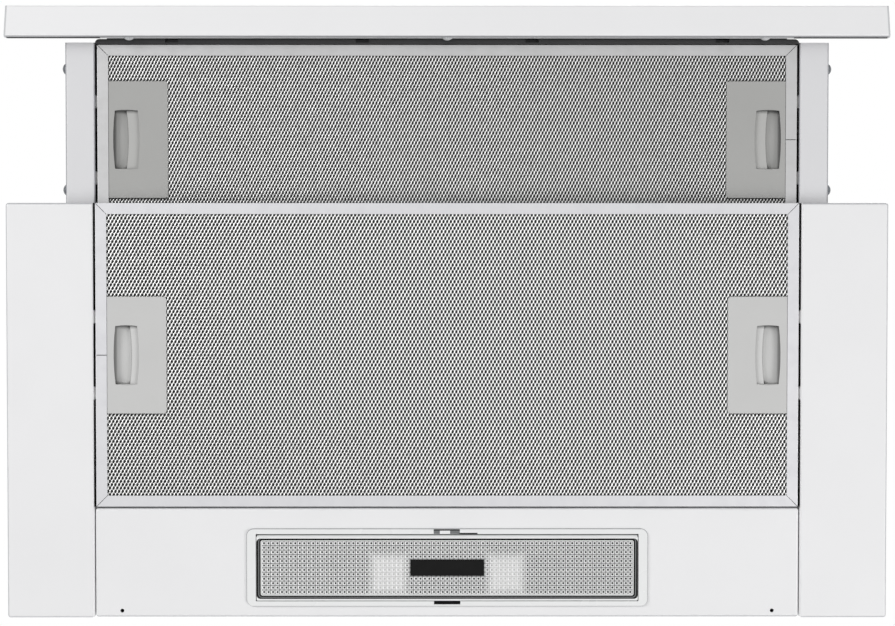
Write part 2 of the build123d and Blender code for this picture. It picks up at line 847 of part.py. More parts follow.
def filter_set(y_start, y_end, z_base, window_inset, window_width, pad_width, seam_side):
    """Return the pieces of one grease filter.

    Args:
        y_start: Front edge of the filter.
        y_end: Rear edge of the filter.
        z_base: Lower face of the filter.
        window_inset: Distance of the handle's window from the frame's strip.
        window_width: Width of the handle's window.
        pad_width: Width of the latch's pad that shows in the handle's window.
        seam_side: -1 for a butt seam in the left strip of the frame, 1 for the right one.

    Returns:
        The frame, the mesh, the core, and the right-hand handle, latch and spring.
    """
    centre = (y_start + y_end) / 2
    z_roof = z_base + filter_thickness
    handle_inner = filter_half - frame_strip - handle_width
    handle_span = (centre - handle_length / 2, centre + handle_length / 2)
    window_outer = filter_half - frame_strip - window_inset
    window_inner = window_outer - window_width

    with BuildPart() as frame:
        block((-filter_half, filter_half), (y_start, y_end), (z_base, z_roof))
        fillet(frame.edges().group_by(Axis.Z)[0], frame_edge)
        block(
            (-filter_half + frame_gauge, filter_half - frame_gauge),
            (y_start + frame_gauge, y_end - frame_gauge),
            (z_base + frame_gauge, z_roof - frame_gauge),
            Mode.SUBTRACT,
        )
        block(
            (-filter_half + frame_strip, filter_half - frame_strip),
            (y_start + frame_strip, y_end - frame_strip),
            (z_base, z_roof),
            Mode.SUBTRACT,
        )
        for y_slot in (centre - tongue_offset, centre + tongue_offset):
            block(
                (-half_width, half_width),
                (y_slot - tongue_width / 2 - slot_clearance, y_slot + tongue_width / 2 + slot_clearance),
                (
                    z_base + tongue_base - slot_clearance,
                    z_base + tongue_base + tongue_thickness + slot_clearance,
                ),
                Mode.SUBTRACT,
            )
        seam_edges = sorted((seam_side * (filter_half - frame_strip), seam_side * filter_half))
        block(
            seam_edges,
            (centre - seam_width / 2, centre + seam_width / 2),
            (z_base, z_base + seam_depth),
            Mode.SUBTRACT,
        )
        # The strips meet in mitres, so the frame is four strips.
        for x_corner, y_corner, turn in (
            (-filter_half, y_start, 45),
            (filter_half, y_start, -45),
            (-filter_half, y_end, -45),
            (filter_half, y_end, 45),
        ):
            with Locations(Location((x_corner, y_corner, z_base + filter_thickness / 2), (0, 0, turn))):
                Box(4 * frame_strip, mitre_gap, 2 * filter_thickness, mode=Mode.SUBTRACT)

    with BuildPart() as mesh:
        block(
            (-filter_half + frame_gauge, filter_half - frame_gauge),
            (y_start + frame_gauge, y_end - frame_gauge),
            (z_base + frame_gauge, z_base + frame_gauge + mesh_gauge),
        )
        for side in (-1, 1):
            with Locations((side * (handle_inner + half_width) / 2, centre, z_base)):
                Box(
                    half_width - handle_inner + 2 * core_gap,
                    handle_length + 2 * core_gap,
                    4 * frame_gauge,
                    mode=Mode.SUBTRACT,
                )

    with BuildPart() as core:
        block(
            (-filter_half + frame_gauge + core_gap, filter_half - frame_gauge - core_gap),
            (y_start + frame_gauge + core_gap, y_end - frame_gauge - core_gap),
            (z_base + frame_gauge + mesh_gauge, z_roof - frame_gauge),
        )
        for side in (-1, 1):
            with Locations((side * (handle_inner + half_width) / 2, centre, z_base)):
                Box(
                    half_width - handle_inner + 2 * core_gap,
                    handle_length + 2 * core_gap,
                    4 * filter_thickness,
                    mode=Mode.SUBTRACT,
                )

    with BuildPart() as handle:
        block(
            (handle_inner, filter_half - frame_strip - core_gap),
            handle_span,
            (z_base + handle_recess, z_base + handle_top),
        )
        fillet(handle.edges().filter_by(Axis.Z).group_by(Axis.X)[0], handle_corner)
        block(
            (handle_inner + handle_wall, filter_half),
            (handle_span[0] + handle_wall, handle_span[1] - handle_wall),
            (z_base + handle_recess + handle_plate, z_base + handle_top - handle_ceiling),
            Mode.SUBTRACT,
        )
        window_low = centre - window_length / 2
        window_high = centre + window_length / 2
        window_mid = (window_outer + window_inner) / 2
        with BuildSketch(Plane.XY.offset(z_base)):
            with BuildLine():
                ThreePointArc(
                    (window_outer, window_low),
                    (window_outer + window_bulge, centre),
                    (window_outer, window_high),
                )
                ThreePointArc(
                    (window_outer, window_high),
                    (window_mid, window_high + window_bulge / 2),
                    (window_inner, window_high),
                )
                ThreePointArc(
                    (window_inner, window_high),
                    (window_inner - window_bulge, centre),
                    (window_inner, window_low),
                )
                ThreePointArc(
                    (window_inner, window_low),
                    (window_mid, window_low - window_bulge / 2),
                    (window_outer, window_low),
                )
            make_face()
        extrude(amount=handle_recess + handle_plate, mode=Mode.SUBTRACT)

    with BuildPart() as latch:
        latch_floor = z_base + latch_base
        block(
            (filter_half - latch_end, filter_half - latch_start),
            (centre - latch_width / 2, centre + latch_width / 2),
            (latch_floor, latch_floor + latch_height),
        )
        for y_tongue in (centre - tongue_offset, centre + tongue_offset):
            block(
                (filter_half - latch_start - latch_edge, filter_half + tongue_reach),
                (y_tongue - tongue_width / 2, y_tongue + tongue_width / 2),
                (z_base + tongue_base, z_base + tongue_base + tongue_thickness),
            )
        well_outer = filter_half - latch_start - latch_edge
        well_inner = window_inner + pad_width
        well_low = centre - window_length / 2
        well_high = centre + window_length / 2
        with BuildSketch(Plane.XY.offset(latch_floor)):
            with BuildLine():
                Polyline((well_inner, well_high), (well_outer, well_high), (well_outer, well_low))
                Line((well_outer, well_low), (well_inner, well_low))
                ThreePointArc(
                    (well_inner, well_low), (well_inner - pad_bulge, centre), (well_inner, well_high)
                )
            make_face()
        extrude(amount=well_depth, mode=Mode.SUBTRACT)

    with BuildPart() as spring:
        spring_foot = filter_half - spring_end + 2 * spring_gauge
        with BuildSketch(Plane.XY.offset(z_base + tongue_base)):
            with BuildLine():
                ThreePointArc(
                    (spring_foot, centre - spring_half_span),
                    (filter_half - latch_end, centre),
                    (spring_foot, centre + spring_half_span),
                )
                offset(amount=spring_gauge, side=Side.LEFT)
            make_face()
        extrude(amount=spring_width)

    return frame.part, mesh.part, core.part, handle.part, latch.part, spring.part


fixed_frame, fixed_mesh, fixed_core, fixed_handle, fixed_latch, fixed_spring = filter_set(
    y_front, y_fixed_rear, z_under, fixed_window_inset, fixed_window_width, fixed_pad_width, -1
)
drawer_frame, drawer_mesh, drawer_core, drawer_handle, drawer_latch, drawer_spring = filter_set(
    y_drawer_filter,
    y_drawer_filter_rear,
    z_drawer,
    drawer_window_inset,
    drawer_window_width,
    drawer_pad_width,
    1,
)

# Lamp: bezel in the panel, hinged lens tray with a plate in its middle, housing with two bulbs
with BuildPart() as lamp_bezel:
    with BuildSketch(Plane.XY.offset(z_under - bezel_flange)):
        with Locations((0, y_lamp)):
            RectangleRounded(bezel_width, bezel_depth, bezel_corner)
    extrude(amount=bezel_flange)
    with BuildSketch(Plane.XY.offset(z_under)):
        with Locations((0, y_lamp)):
            Rectangle(bezel_open_x + 2 * bezel_wall, bezel_open_y + 2 * bezel_wall)
    extrude(amount=bezel_height)
    with BuildSketch(Plane.XY.offset(z_under - bezel_flange)):
        with Locations((0, y_lamp)):
            Rectangle(bezel_open_x, bezel_open_y)
    extrude(amount=bezel_flange + bezel_height, mode=Mode.SUBTRACT)
    rod(
        (-bezel_width / 2, y_hinge, z_hinge),
        (1, 0, 0),
        lens_pin_radius + pin_clearance,
        bezel_width,
        Mode.SUBTRACT,
    )
    block(
        (-pry_notch_width / 2, pry_notch_width / 2),
        (y_lamp + bezel_open_y / 2, y_lamp + bezel_open_y / 2 + pry_notch_depth),
        (z_under - bezel_flange, z_under + pry_notch_height),
        Mode.SUBTRACT,
    )

lens_x = lens_width / 2
lens_y = lens_depth / 2
with BuildPart() as lamp_cover:
    block((-lens_x, lens_x), (y_lamp - lens_y, y_lamp + lens_y), (z_lens, z_lens + lens_height))
    # The front edge is round about the hinge, so it turns inside the bezel.
    fillet(lamp_cover.edges().filter_by(Axis.X).group_by(Axis.Z)[0].sort_by(Axis.Y)[0], lens_edge)
    block(
        (-lens_x + lens_wall, lens_x - lens_wall),
        (y_lamp - lens_y + 2 * lens_wall, y_lamp + lens_y - lens_wall),
        (z_lens + lens_wall, z_lens + lens_height),
        Mode.SUBTRACT,
    )
    block(
        (-label_width / 2, label_width / 2),
        (y_lamp - label_depth / 2, y_lamp + label_depth / 2),
        (z_lens, z_lens + label_thickness),
        Mode.SUBTRACT,
    )
    rod(
        (-lens_x - lens_pin_length, y_hinge, z_hinge),
        (1, 0, 0),
        lens_pin_radius,
        lens_width + 2 * lens_pin_length,
    )

with BuildPart() as lamp_label:
    block(
        (-label_width / 2, label_width / 2),
        (y_lamp - label_depth / 2, y_lamp + label_depth / 2),
        (z_lens, z_lens + label_thickness),
    )

with BuildPart() as lamp_housing:
    block(
        (-bezel_width / 2, bezel_width / 2),
        (y_lamp - bezel_depth / 2, y_lamp + bezel_depth / 2),
        (z_floor, z_floor + lamp_housing_height),
    )
    block(
        (-bezel_width / 2 + lamp_housing_wall, bezel_width / 2 - lamp_housing_wall),
        (y_lamp - bezel_depth / 2 + lamp_housing_wall, y_lamp + bezel_depth / 2 - lamp_housing_wall),
        (z_floor, z_floor + lamp_housing_height - lamp_housing_wall),
        Mode.SUBTRACT,
    )

bulb_axis = Axis((0, y_lamp, z_bulb), (1, 0, 0))
bulb_end = bulb_tip + bulb_length
bulb_wide = bulb_tip + 0.45 * bulb_length
bulb_neck = bulb_end - 2 * holder_bore_depth
holder_start = bulb_end - holder_bore_depth
with BuildPart() as bulb:
    with BuildSketch(Plane(origin=(0, y_lamp, z_bulb), x_dir=(1, 0, 0), z_dir=(0, -1, 0))):
        with BuildLine():
            EllipticalCenterArc((bulb_wide, 0), bulb_wide - bulb_tip, bulb_radius, 90, arc_size=90)
            TangentArc((bulb_wide, bulb_radius), (bulb_neck, bulb_neck_radius), tangent=(1, 0))
            Polyline(
                (bulb_neck, bulb_neck_radius), (bulb_end, bulb_neck_radius), (bulb_end, 0), (bulb_tip, 0)
            )
        make_face()
    revolve(axis=bulb_axis)

with BuildPart() as lamp_holder:
    rod(
        (holder_start, y_lamp, z_bulb),
        (1, 0, 0),
        holder_radius,
        bezel_width / 2 - lamp_housing_wall - holder_start,
    )
    rod(
        (holder_start, y_lamp, z_bulb),
        (1, 0, 0),
        bulb_neck_radius + holder_gap,
        holder_bore_depth + holder_gap,
        Mode.SUBTRACT,
    )

# Duct collar with its centre bar, stop ledge and two damper flaps
bore_radius = collar_radius - collar_wall
flap_radius = bore_radius - flap_gap
z_ledge = flap_axis_height - flap_thickness / 2 - latch_clearance
pin_end = bore_radius + flap_pin_depth
with BuildPart() as duct_collar:
    with BuildSketch(Plane.XY.offset(z_top)):
        Rectangle(collar_flange_width, collar_flange_width)
        with GridLocations(2 * collar_screw_place, 2 * collar_screw_place, 2, 2):
            Circle(screw_hole, mode=Mode.SUBTRACT)
    extrude(amount=collar_flange)
    with BuildSketch(Plane.XY):
        Circle(collar_radius)
    extrude(amount=collar_height)
    with BuildSketch(Plane.XY.offset(z_top)):
        Circle(bore_radius)
    extrude(amount=collar_flange + collar_height, mode=Mode.SUBTRACT)
    with BuildSketch(Plane.XY.offset(z_ledge - stop_ledge_height)):
        Circle((bore_radius + collar_radius) / 2)
        Circle(bore_radius - stop_ledge, mode=Mode.SUBTRACT)
        Rectangle(2 * collar_radius, 2 * stop_ledge_gap, mode=Mode.SUBTRACT)
    extrude(amount=stop_ledge_height)
    block(
        (-bore_radius, bore_radius),
        (-centre_bar_width / 2, centre_bar_width / 2),
        (flap_axis_height - centre_bar_width / 2, flap_axis_height + centre_bar_width / 2),
    )
    for y_pin in (-flap_axis_offset, flap_axis_offset):
        rod(
            (-pin_end, y_pin, flap_axis_height),
            (1, 0, 0),
            flap_pin_radius + pin_clearance,
            2 * pin_end,
            Mode.SUBTRACT,
        )

with BuildPart() as rear_flap:
    with BuildSketch(Plane.XY.offset(flap_axis_height - flap_thickness / 2)):
        Circle(flap_radius)
        with Locations((0, flap_axis_offset - flap_radius)):
            Rectangle(2 * flap_radius, 2 * flap_radius, mode=Mode.SUBTRACT)
    extrude(amount=flap_thickness)
    rod(
        (-pin_end + pin_clearance, flap_axis_offset, flap_axis_height),
        (1, 0, 0),
        flap_pin_radius,
        2 * (pin_end - pin_clearance),
    )

with BuildPart() as front_flap:
    mirror(rear_flap.part, about=Plane.XZ)

# Blower: scroll in two halves, impeller on a shaft, motor on a three-armed bracket
with BuildPart() as scroll:
    with BuildSketch(Plane.YZ.offset(scroll_seam)):
        with Locations((y_scroll, z_scroll)):
            Circle(scroll_radius)
        with Locations((0, (z_scroll + z_ceiling) / 2)):
            Rectangle(2 * outlet_half_depth, scroll_height)
    extrude(amount=scroll_half_width - scroll_seam)
    with BuildSketch(Plane.YZ):
        with Locations((y_scroll, z_scroll)):
            Circle(scroll_radius - scroll_wall)
        with Locations((0, (z_scroll + z_ceiling) / 2)):
            Rectangle(2 * (outlet_half_depth - scroll_wall), scroll_height)
    extrude(amount=scroll_half_width - scroll_wall, mode=Mode.SUBTRACT)
    rod((0, y_impeller, z_impeller), (1, 0, 0), inlet_radius, 2 * scroll_half_width, Mode.SUBTRACT)

impeller_plane = Plane(origin=(0, y_impeller, z_impeller), z_dir=(1, 0, 0))
blade_radius = impeller_radius - impeller_ring / 2
with BuildPart() as impeller:
    rod((-impeller_disc / 2, y_impeller, z_impeller), (1, 0, 0), blade_radius, impeller_disc)
    rod((-hub_half_width, y_impeller, z_impeller), (1, 0, 0), hub_radius, 2 * hub_half_width)
    with Locations(impeller_plane):
        with PolarLocations(blade_radius, blade_count):
            Box(impeller_ring, blade_gauge, 2 * impeller_half_width, rotation=(0, 0, blade_tilt))
    for x_ring in (-impeller_half_width, impeller_half_width - impeller_ring_width):
        with BuildSketch(impeller_plane.offset(x_ring)):
            Circle(impeller_radius)
            Circle(impeller_radius - impeller_ring, mode=Mode.SUBTRACT)
        extrude(amount=impeller_ring_width)
    rod(
        (-2 * hub_half_width, y_impeller, z_impeller),
        (1, 0, 0),
        shaft_radius,
        4 * hub_half_width,
        Mode.SUBTRACT,
    )

with BuildPart() as motor_shaft:
    rod(
        (-hub_half_width, y_impeller, z_impeller),
        (1, 0, 0),
        shaft_radius,
        hub_half_width + motor_face + shaft_seat,
    )

with BuildPart() as motor:
    rod((motor_face, y_impeller, z_impeller), (1, 0, 0), motor_radius, motor_length)
    rod((motor_face + motor_length, y_impeller, z_impeller), (1, 0, 0), motor_cap_radius, motor_cap_length)
    rod(
        (motor_face, y_impeller, z_impeller),
        (1, 0, 0),
        shaft_radius + pin_clearance,
        shaft_seat + holder_gap,
        Mode.SUBTRACT,
    )

ring_inner = inlet_radius + bracket_gauge
with BuildPart() as motor_bracket:
    with BuildSketch(impeller_plane.offset(scroll_half_width)):
        Circle(ring_inner + bracket_ring)
        Circle(ring_inner, mode=Mode.SUBTRACT)
        with PolarLocations((ring_inner + bracket_ring / 2) / 2, 3):
            Rectangle(ring_inner + bracket_ring / 2, bracket_arm_width)
        Circle(bracket_hub)
        Circle(bracket_bore, mode=Mode.SUBTRACT)
    extrude(amount=bracket_gauge)

# Wiring: terminal box under the casing's top, gland for the mains cord
with BuildPart() as terminal_box:
    with Locations((terminal_box_x, terminal_box_y, z_ceiling - terminal_box_height / 2)):
        Box(terminal_box_width, terminal_box_depth, terminal_box_height)
    with Locations((terminal_box_x, terminal_box_y, z_ceiling - terminal_box_height / 2 + terminal_box_wall)):
        Box(
            terminal_box_width - 2 * terminal_box_wall,
            terminal_box_depth - 2 * terminal_box_wall,
            terminal_box_height,
            mode=Mode.SUBTRACT,
        )

with BuildPart() as cable_gland:
    rod(
        (terminal_box_x, terminal_box_y, z_ceiling - gland_depth),
        (0, 0, 1),
        gland_radius,
        sheet + gland_depth + gland_height,
    )
    with BuildSketch(Plane.XY.offset(z_top)):
        with Locations((terminal_box_x, terminal_box_y)):
            RegularPolygon(gland_nut, 6)
    extrude(amount=gland_nut_height)
    rod(
        (terminal_box_x, terminal_box_y, z_ceiling - 2 * gland_depth),
        (0, 0, 1),
        gland_bore,
        4 * gland_height,
        Mode.SUBTRACT,
    )

pieces = {
    "casing_top": casing_top.part,
    "casing_front": casing_front.part,
    "casing_rear": casing_rear.part,
    "casing_sides": pair_of(casing_side.part),
    "casing_screws": casing_screws,
    "base_left_panel": left_of(base_panel.part),
    "base_right_panel": base_panel.part,
    "lamp_panel": lamp_panel.part,
    "lamp_bezel": lamp_bezel.part,
    "lamp_cover": lamp_cover.part,
    "lamp_label": lamp_label.part,
    "lamp_housing": lamp_housing.part,
    "lamp_holders": pair_of(lamp_holder.part),
    "lamp_bulbs": pair_of(bulb.part),
    "slide_hangers": pair_of(hanger.part),
    "fixed_rails": pair_of(fixed_rail.part),
    "middle_rails": pair_of(middle_rail.part),
    "moving_rails": pair_of(moving_rail.part),
    "drawer_left_channel": left_of(channel.part),
    "drawer_right_channel": channel.part,
    "channel_screws": channel_screws,
    "drawer_rear_bar": rear_bar.part,
    "drawer_cover": drawer_cover.part,
    "fascia": fascia.part,
    "fascia_end_caps": pair_of(end_cap.part),
    "fascia_screws": fascia_screws,
    "front_rail": front_rail.part,
    "switch_box": switch_box.part,
    "fixed_filter_frame": fixed_frame,
    "fixed_filter_mesh": fixed_mesh,
    "fixed_filter_core": fixed_core,
    "fixed_filter_handles": pair_of(fixed_handle),
    "fixed_filter_left_latch": left_of(fixed_latch),
    "fixed_filter_right_latch": fixed_latch,
    "fixed_filter_left_spring": left_of(fixed_spring),
    "fixed_filter_right_spring": fixed_spring,
    "drawer_filter_frame": drawer_frame,
    "drawer_filter_mesh": drawer_mesh,
    "drawer_filter_core": drawer_core,
    "drawer_filter_handles": pair_of(drawer_handle),
    "drawer_filter_left_latch": left_of(drawer_latch),
    "drawer_filter_right_latch": drawer_latch,
    "drawer_filter_left_spring": left_of(drawer_spring),
    "drawer_filter_right_spring": drawer_spring,
    "duct_collar": duct_collar.part,
    "front_flap": front_flap.part,
    "rear_flap": rear_flap.part,
    "scroll_left_half": left_of(scroll.part),
    "scroll_right_half": scroll.part,
    "impeller": impeller.part,
    "motor_shaft": motor_shaft.part,
    "motor": motor.part,
    "motor_bracket": motor_bracket.part,
    "terminal_box": terminal_box.part,
    "cable_gland": cable_gland.part,
}
for name, x_button in zip(button_names, button_places):
    pieces[f"{name}_button"] = push_button(x_button)

os.makedirs("parts", exist_ok=True)
for name, piece in pieces.items():
    piece.label = name
    export_step(piece, f"parts/{name}.step")
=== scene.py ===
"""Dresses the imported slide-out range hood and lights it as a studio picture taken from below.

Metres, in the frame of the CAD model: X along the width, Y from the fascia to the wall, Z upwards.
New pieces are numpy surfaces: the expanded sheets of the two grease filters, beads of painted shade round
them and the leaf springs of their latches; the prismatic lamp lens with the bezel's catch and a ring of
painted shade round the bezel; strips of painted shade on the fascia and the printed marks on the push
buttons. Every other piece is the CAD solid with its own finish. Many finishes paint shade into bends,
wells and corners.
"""

from __future__ import annotations

import logging
from abc import ABC, abstractmethod
from collections.abc import Sequence
from dataclasses import dataclass, field, replace
from enum import Enum

import bpy
import numpy as np
from mathutils import Matrix, Vector


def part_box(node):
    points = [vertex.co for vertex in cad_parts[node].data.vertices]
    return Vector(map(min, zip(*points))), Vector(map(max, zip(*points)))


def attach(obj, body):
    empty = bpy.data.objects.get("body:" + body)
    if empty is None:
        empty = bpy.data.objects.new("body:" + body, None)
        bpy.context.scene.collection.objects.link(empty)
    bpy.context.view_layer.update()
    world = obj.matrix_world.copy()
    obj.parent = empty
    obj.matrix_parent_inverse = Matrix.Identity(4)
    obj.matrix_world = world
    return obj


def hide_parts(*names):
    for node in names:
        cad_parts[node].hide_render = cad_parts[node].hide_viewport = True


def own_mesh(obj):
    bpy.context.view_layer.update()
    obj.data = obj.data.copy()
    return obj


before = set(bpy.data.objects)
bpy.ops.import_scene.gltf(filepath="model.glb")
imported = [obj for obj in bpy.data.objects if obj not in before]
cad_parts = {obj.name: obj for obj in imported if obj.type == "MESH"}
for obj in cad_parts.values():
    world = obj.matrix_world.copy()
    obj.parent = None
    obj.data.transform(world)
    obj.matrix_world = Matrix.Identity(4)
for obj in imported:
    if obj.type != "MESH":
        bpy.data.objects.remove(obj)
log = logging.getLogger("range_hood")
MM = 0.001
PLAIN_WHITE = (1.0, 1.0, 1.0, 1.0)
# Limits between which noise mostly stays.
NOISE_SPREAD = (0.3, 0.7)
# Part of a normal along Z where a bend starts and where it is full, and along X or Y where it has ended.
BEND_LEAN = (0.955, 0.8)
BEND_END = 0.995
# Free share of the room over a point where the painted corner shade starts and where it is full, and rays
# that find it.
CORNER_SHADE_ROOM = (0.72, 0.42)
CORNER_SHADE_SAMPLES = 16
# Refractive index of polycarbonate.
CLEAR_IOR = 1.585
# Points of a rounded corner, an arc in section, a hinge pin, a printed ring and a leaf spring's length.
CORNER_POINTS, ARC_POINTS, PIN_POINTS, RING_POINTS, LEAF_POINTS = 7, 9, 20, 32, 33
# Short names of types.
Tree = bpy.types.NodeTree
Node = bpy.types.Node
Socket = bpy.types.NodeSocket
Material = bpy.types.Material
Pair = tuple[float, float]
Triple = tuple[float, float, float]
Limits = tuple[float, float, float, float]


def linear(code: str) -> tuple[float, float, float, float]:
    """Turn an sRGB hex colour into linear light.

    Args:
        code: Six hex digits, with or without a leading hash.

    Returns:
        Linear red, green and blue, and an alpha of 1.
    """
    srgb = np.array([int(code.lstrip("#")[i : i + 2], 16) for i in (0, 2, 4)]) / 255
    light = np.where(srgb <= 0.04045, srgb / 12.92, ((srgb + 0.055) / 1.055) ** 2.4)
    return (*light.tolist(), 1.0)


def add_node(tree: Tree, kind: str, inputs: dict | Sequence = (), **settings: str | int) -> Node:
    """Add one node to a tree with its settings and links.

    Args:
        tree: The node tree.
        kind: Type name of the node, without the ShaderNode in front.
        inputs: What goes into the inputs, by name or number or in order: a value, a socket to link, or a
            node, which is linked from its first output in use.
        settings: Properties of the node itself.

    Returns:
        The new node.
    """
    made = tree.nodes.new(f"ShaderNode{kind}")
    for name, value in settings.items():
        setattr(made, name, value)
    for socket, value in inputs.items() if isinstance(inputs, dict) else enumerate(inputs):
        if isinstance(value, Node):
            value = next(output for output in value.outputs if output.enabled)
        if isinstance(value, Socket):
            tree.links.new(value, made.inputs[socket])
        else:
            made.inputs[socket].default_value = value
    return made


def new_tree(name: str) -> tuple[Material, Tree]:
    """Make a material and return it with its empty tree."""
    made = bpy.data.materials.new(name)
    made.use_nodes = True
    made.node_tree.nodes.clear()
    return made, made.node_tree


class Axis(Enum):
    """Axis of a piece's own coordinates, with its place in a vector."""

    X = 0
    Y = 1
    Z = 2


@dataclass(frozen=True)
class Fade:
    """A change of colour along one axis, used to paint shade onto part of a piece and to end it again.

    Attributes:
        axis: The axis; X counts from the middle plane to either side.
        colour: The colour that a finish goes to, sRGB hex.
        start_mm: Where the change starts.
        full_mm: Where it is complete.
    """

    axis: Axis
    colour: str
    start_mm: float
    full_mm: float

    def share(self, tree: Tree, place: Socket) -> Node:
        """Add the share of the fade's colour.

        Args:
            tree: The node tree.
            place: The place in the piece's own coordinates.

        Returns:
            A node that goes from 0 to 1 along the fade.
        """
        along = add_node(tree, "SeparateXYZ", [place]).outputs[self.axis.value]
        if self.axis is Axis.X:
            along = add_node(tree, "Math", [along], operation="ABSOLUTE")
        return add_node(tree, "MapRange", [along, self.start_mm * MM, self.full_mm * MM])


@dataclass(frozen=True)
class Finish:
    """A finish whose colour, gloss and relief follow noise of real sizes.

    Attributes:
        name: Common name of the material.
        colour: Main colour, sRGB hex.
        shade: Colour that the mottling mixes in, sRGB hex.
        roughness: Mean roughness.
        swing: How far the roughness goes up and down.
        mottle_mm: Size of the mottling.
        grain_mm: Size of the relief.
        relief_mm: Height of the relief.
        metallic: 1 for bare metal.
        ior: Index of refraction of a coating or polymer.
        fades: Painted shade: changes of colour along the axes, one after the other.
        crevice: Colour of the painted shade in the piece's own corners and under its edges, from ambient
            occlusion, sRGB hex, and how far it reaches, in mm.
        bend: Colour of the painted shade on bends, sRGB hex, and which bends show it: a direction, and the
            least part of the normal along it.
    """

    name: str
    colour: str
    shade: str
    roughness: float
    swing: float
    mottle_mm: float
    grain_mm: float
    relief_mm: float
    metallic: float = 0.0
    ior: float = 1.5
    fades: tuple[Fade, ...] = ()
    crevice: tuple[str, float] | None = None
    bend: tuple[str, Triple, float] | None = None

    def bend_share(self, tree: Tree, normal: Socket) -> Node:
        """Add the share of the painted shade on bends.

        It rises as the normal leans away from Z, and is 0 again on faces that look straight along X or Y.

        Args:
            tree: The node tree.
            normal: The normal in the object's own axes.

        Returns:
            A node that goes from 0 on level and upright faces to 1 on the bends.
        """
        _, toward, least = self.bend
        lean = add_node(tree, "VectorMath", [normal], operation="ABSOLUTE")
        x, y, z = add_node(tree, "SeparateXYZ", [lean]).outputs
        bent = add_node(tree, "MapRange", [z, *BEND_LEAN])
        sideways = add_node(tree, "Math", [x, y], operation="MAXIMUM")
        rounded_off = add_node(tree, "Math", [sideways, BEND_END], operation="LESS_THAN")
        along = add_node(tree, "VectorMath", [normal, toward], operation="DOT_PRODUCT")
        shown = add_node(tree, "Math", [along, least], operation="GREATER_THAN")
        share = add_node(tree, "Math", [bent, rounded_off], operation="MULTIPLY")
        return add_node(tree, "Math", [share, shown], operation="MULTIPLY")

    def material(self) -> Material:
        """Return the finish's material, made on first use."""
        known = bpy.data.materials.get(self.name)
        if known:
            return known
        made, tree = new_tree(self.name)
        coords = add_node(tree, "TexCoord").outputs
        place = coords["Object"]
        mottle, grain = (
            add_node(tree, "TexNoise", {"Vector": place, "Scale": 1 / (size * MM), "Detail": detail})
            for size, detail in ((self.mottle_mm, 3.0), (self.grain_mm, 2.0))
        )
        layers = [(mottle, self.shade)]
        # Painted shade along the axes.
        layers += [(fade.share(tree, place), fade.colour) for fade in self.fades]
        # Painted shade on bends.
        if self.bend:
            layers.append((self.bend_share(tree, coords["Normal"]), self.bend[0]))
        # Painted shade in the piece's own corners, from ambient occlusion.
        if self.crevice:
            corner_colour, reach = self.crevice
            room = add_node(
                tree, "AmbientOcclusion", {"Distance": reach * MM}, samples=CORNER_SHADE_SAMPLES, only_local=True
            )
            layers.append((add_node(tree, "MapRange", [room.outputs["AO"], *CORNER_SHADE_ROOM]), corner_colour))
        colour = linear(self.colour)
        for share, code in layers:
            colour = add_node(tree, "Mix", {0: share, 6: colour, 7: linear(code)}, data_type="RGBA")
        smooth, rough = self.roughness - self.swing, self.roughness + self.swing
        gloss = add_node(tree, "MapRange", [mottle, *NOISE_SPREAD, smooth, rough])
        relief = add_node(tree, "Bump", {"Height": grain, "Distance": self.relief_mm * MM, "Strength": 1.0})
        shader = add_node(
            tree,
            "BsdfPrincipled",
            {
                "Base Color": colour,
                "Roughness": gloss,
                "Normal": relief,
                "Metallic": self.metallic,
                "IOR": self.ior,
            },
        )
        add_node(tree, "OutputMaterial", {"Surface": shader})
        return made


# Powder-coated sheet steel: an even white skin with a faint orange peel a couple of millimetres across. The
# open bends carry painted shade, a greyer tone; the bends along the seams have none.
ENAMEL = Finish("powder_coated_steel", "#F3F3F4", "#EDEDEE", 0.38, 0.04, 60, 2.4, 0.02)
ENAMEL_LEFT = replace(ENAMEL, name="powder_coated_steel_left", bend=("#C4C5C8", (-1.0, 0.0, 0.0), -0.2))
ENAMEL_RIGHT = replace(ENAMEL, name="powder_coated_steel_right", bend=("#C4C5C8", (1.0, 0.0, 0.0), -0.2))
ENAMEL_REAR = replace(ENAMEL, name="powder_coated_steel_rear", bend=("#C4C5C8", (0.0, 1.0, 0.0), 0.2))
# The fascia is a touch lighter; its rear bend carries a darker painted shade.
ENAMEL_FASCIA = replace(
    ENAMEL,
    name="powder_coated_steel_fascia",
    colour="#F4F4F5",
    shade="#F0F0F1",
    bend=("#A2A3A6", (0.0, 1.0, 0.0), 0.2),
)
# The drawer's channels have the same coat, painted a little greyer as shade, with darker painted shade on
# their bends.
ENAMEL_SHADED = Finish(
    "powder_coated_steel_shaded",
    "#E0E0E2",
    "#DBDBDD",
    0.42,
    0.05,
    45,
    2.0,
    0.02,
    bend=("#A6A7AB", (0.0, 0.0, -1.0), 0.0),
)
# Moulded end caps and fixings of the fascia: plain light grey with a soft gloss. Part of the grey is painted
# shade.
CAP = Finish("moulded_end_cap_grey", "#CFD0D2", "#C8C9CB", 0.45, 0.05, 20, 0.8, 0.01, ior=1.54)
# Mill-finish aluminium strip, rolled: soft grey sheen with fine speckle.
STRIP = Finish("rolled_aluminium_strip", "#DCDCDE", "#D4D4D7", 0.6, 0.06, 9, 0.7, 0.02, 1.0)
# The drawer's strip is a darker copy of the same aluminium, as painted shade.
STRIP_DRAWER = Finish("rolled_aluminium_strip_drawer", "#C8C8C9", "#C0C0C0", 0.55, 0.06, 9, 0.7, 0.02, 1.0)
# Inner mesh layers of the filter in their own shade: nearly black from outside.
CORE = Finish("stacked_mesh_in_shade", "#1C1C1C", "#0C0C0C", 0.8, 0.05, 3, 1.2, 0.2)
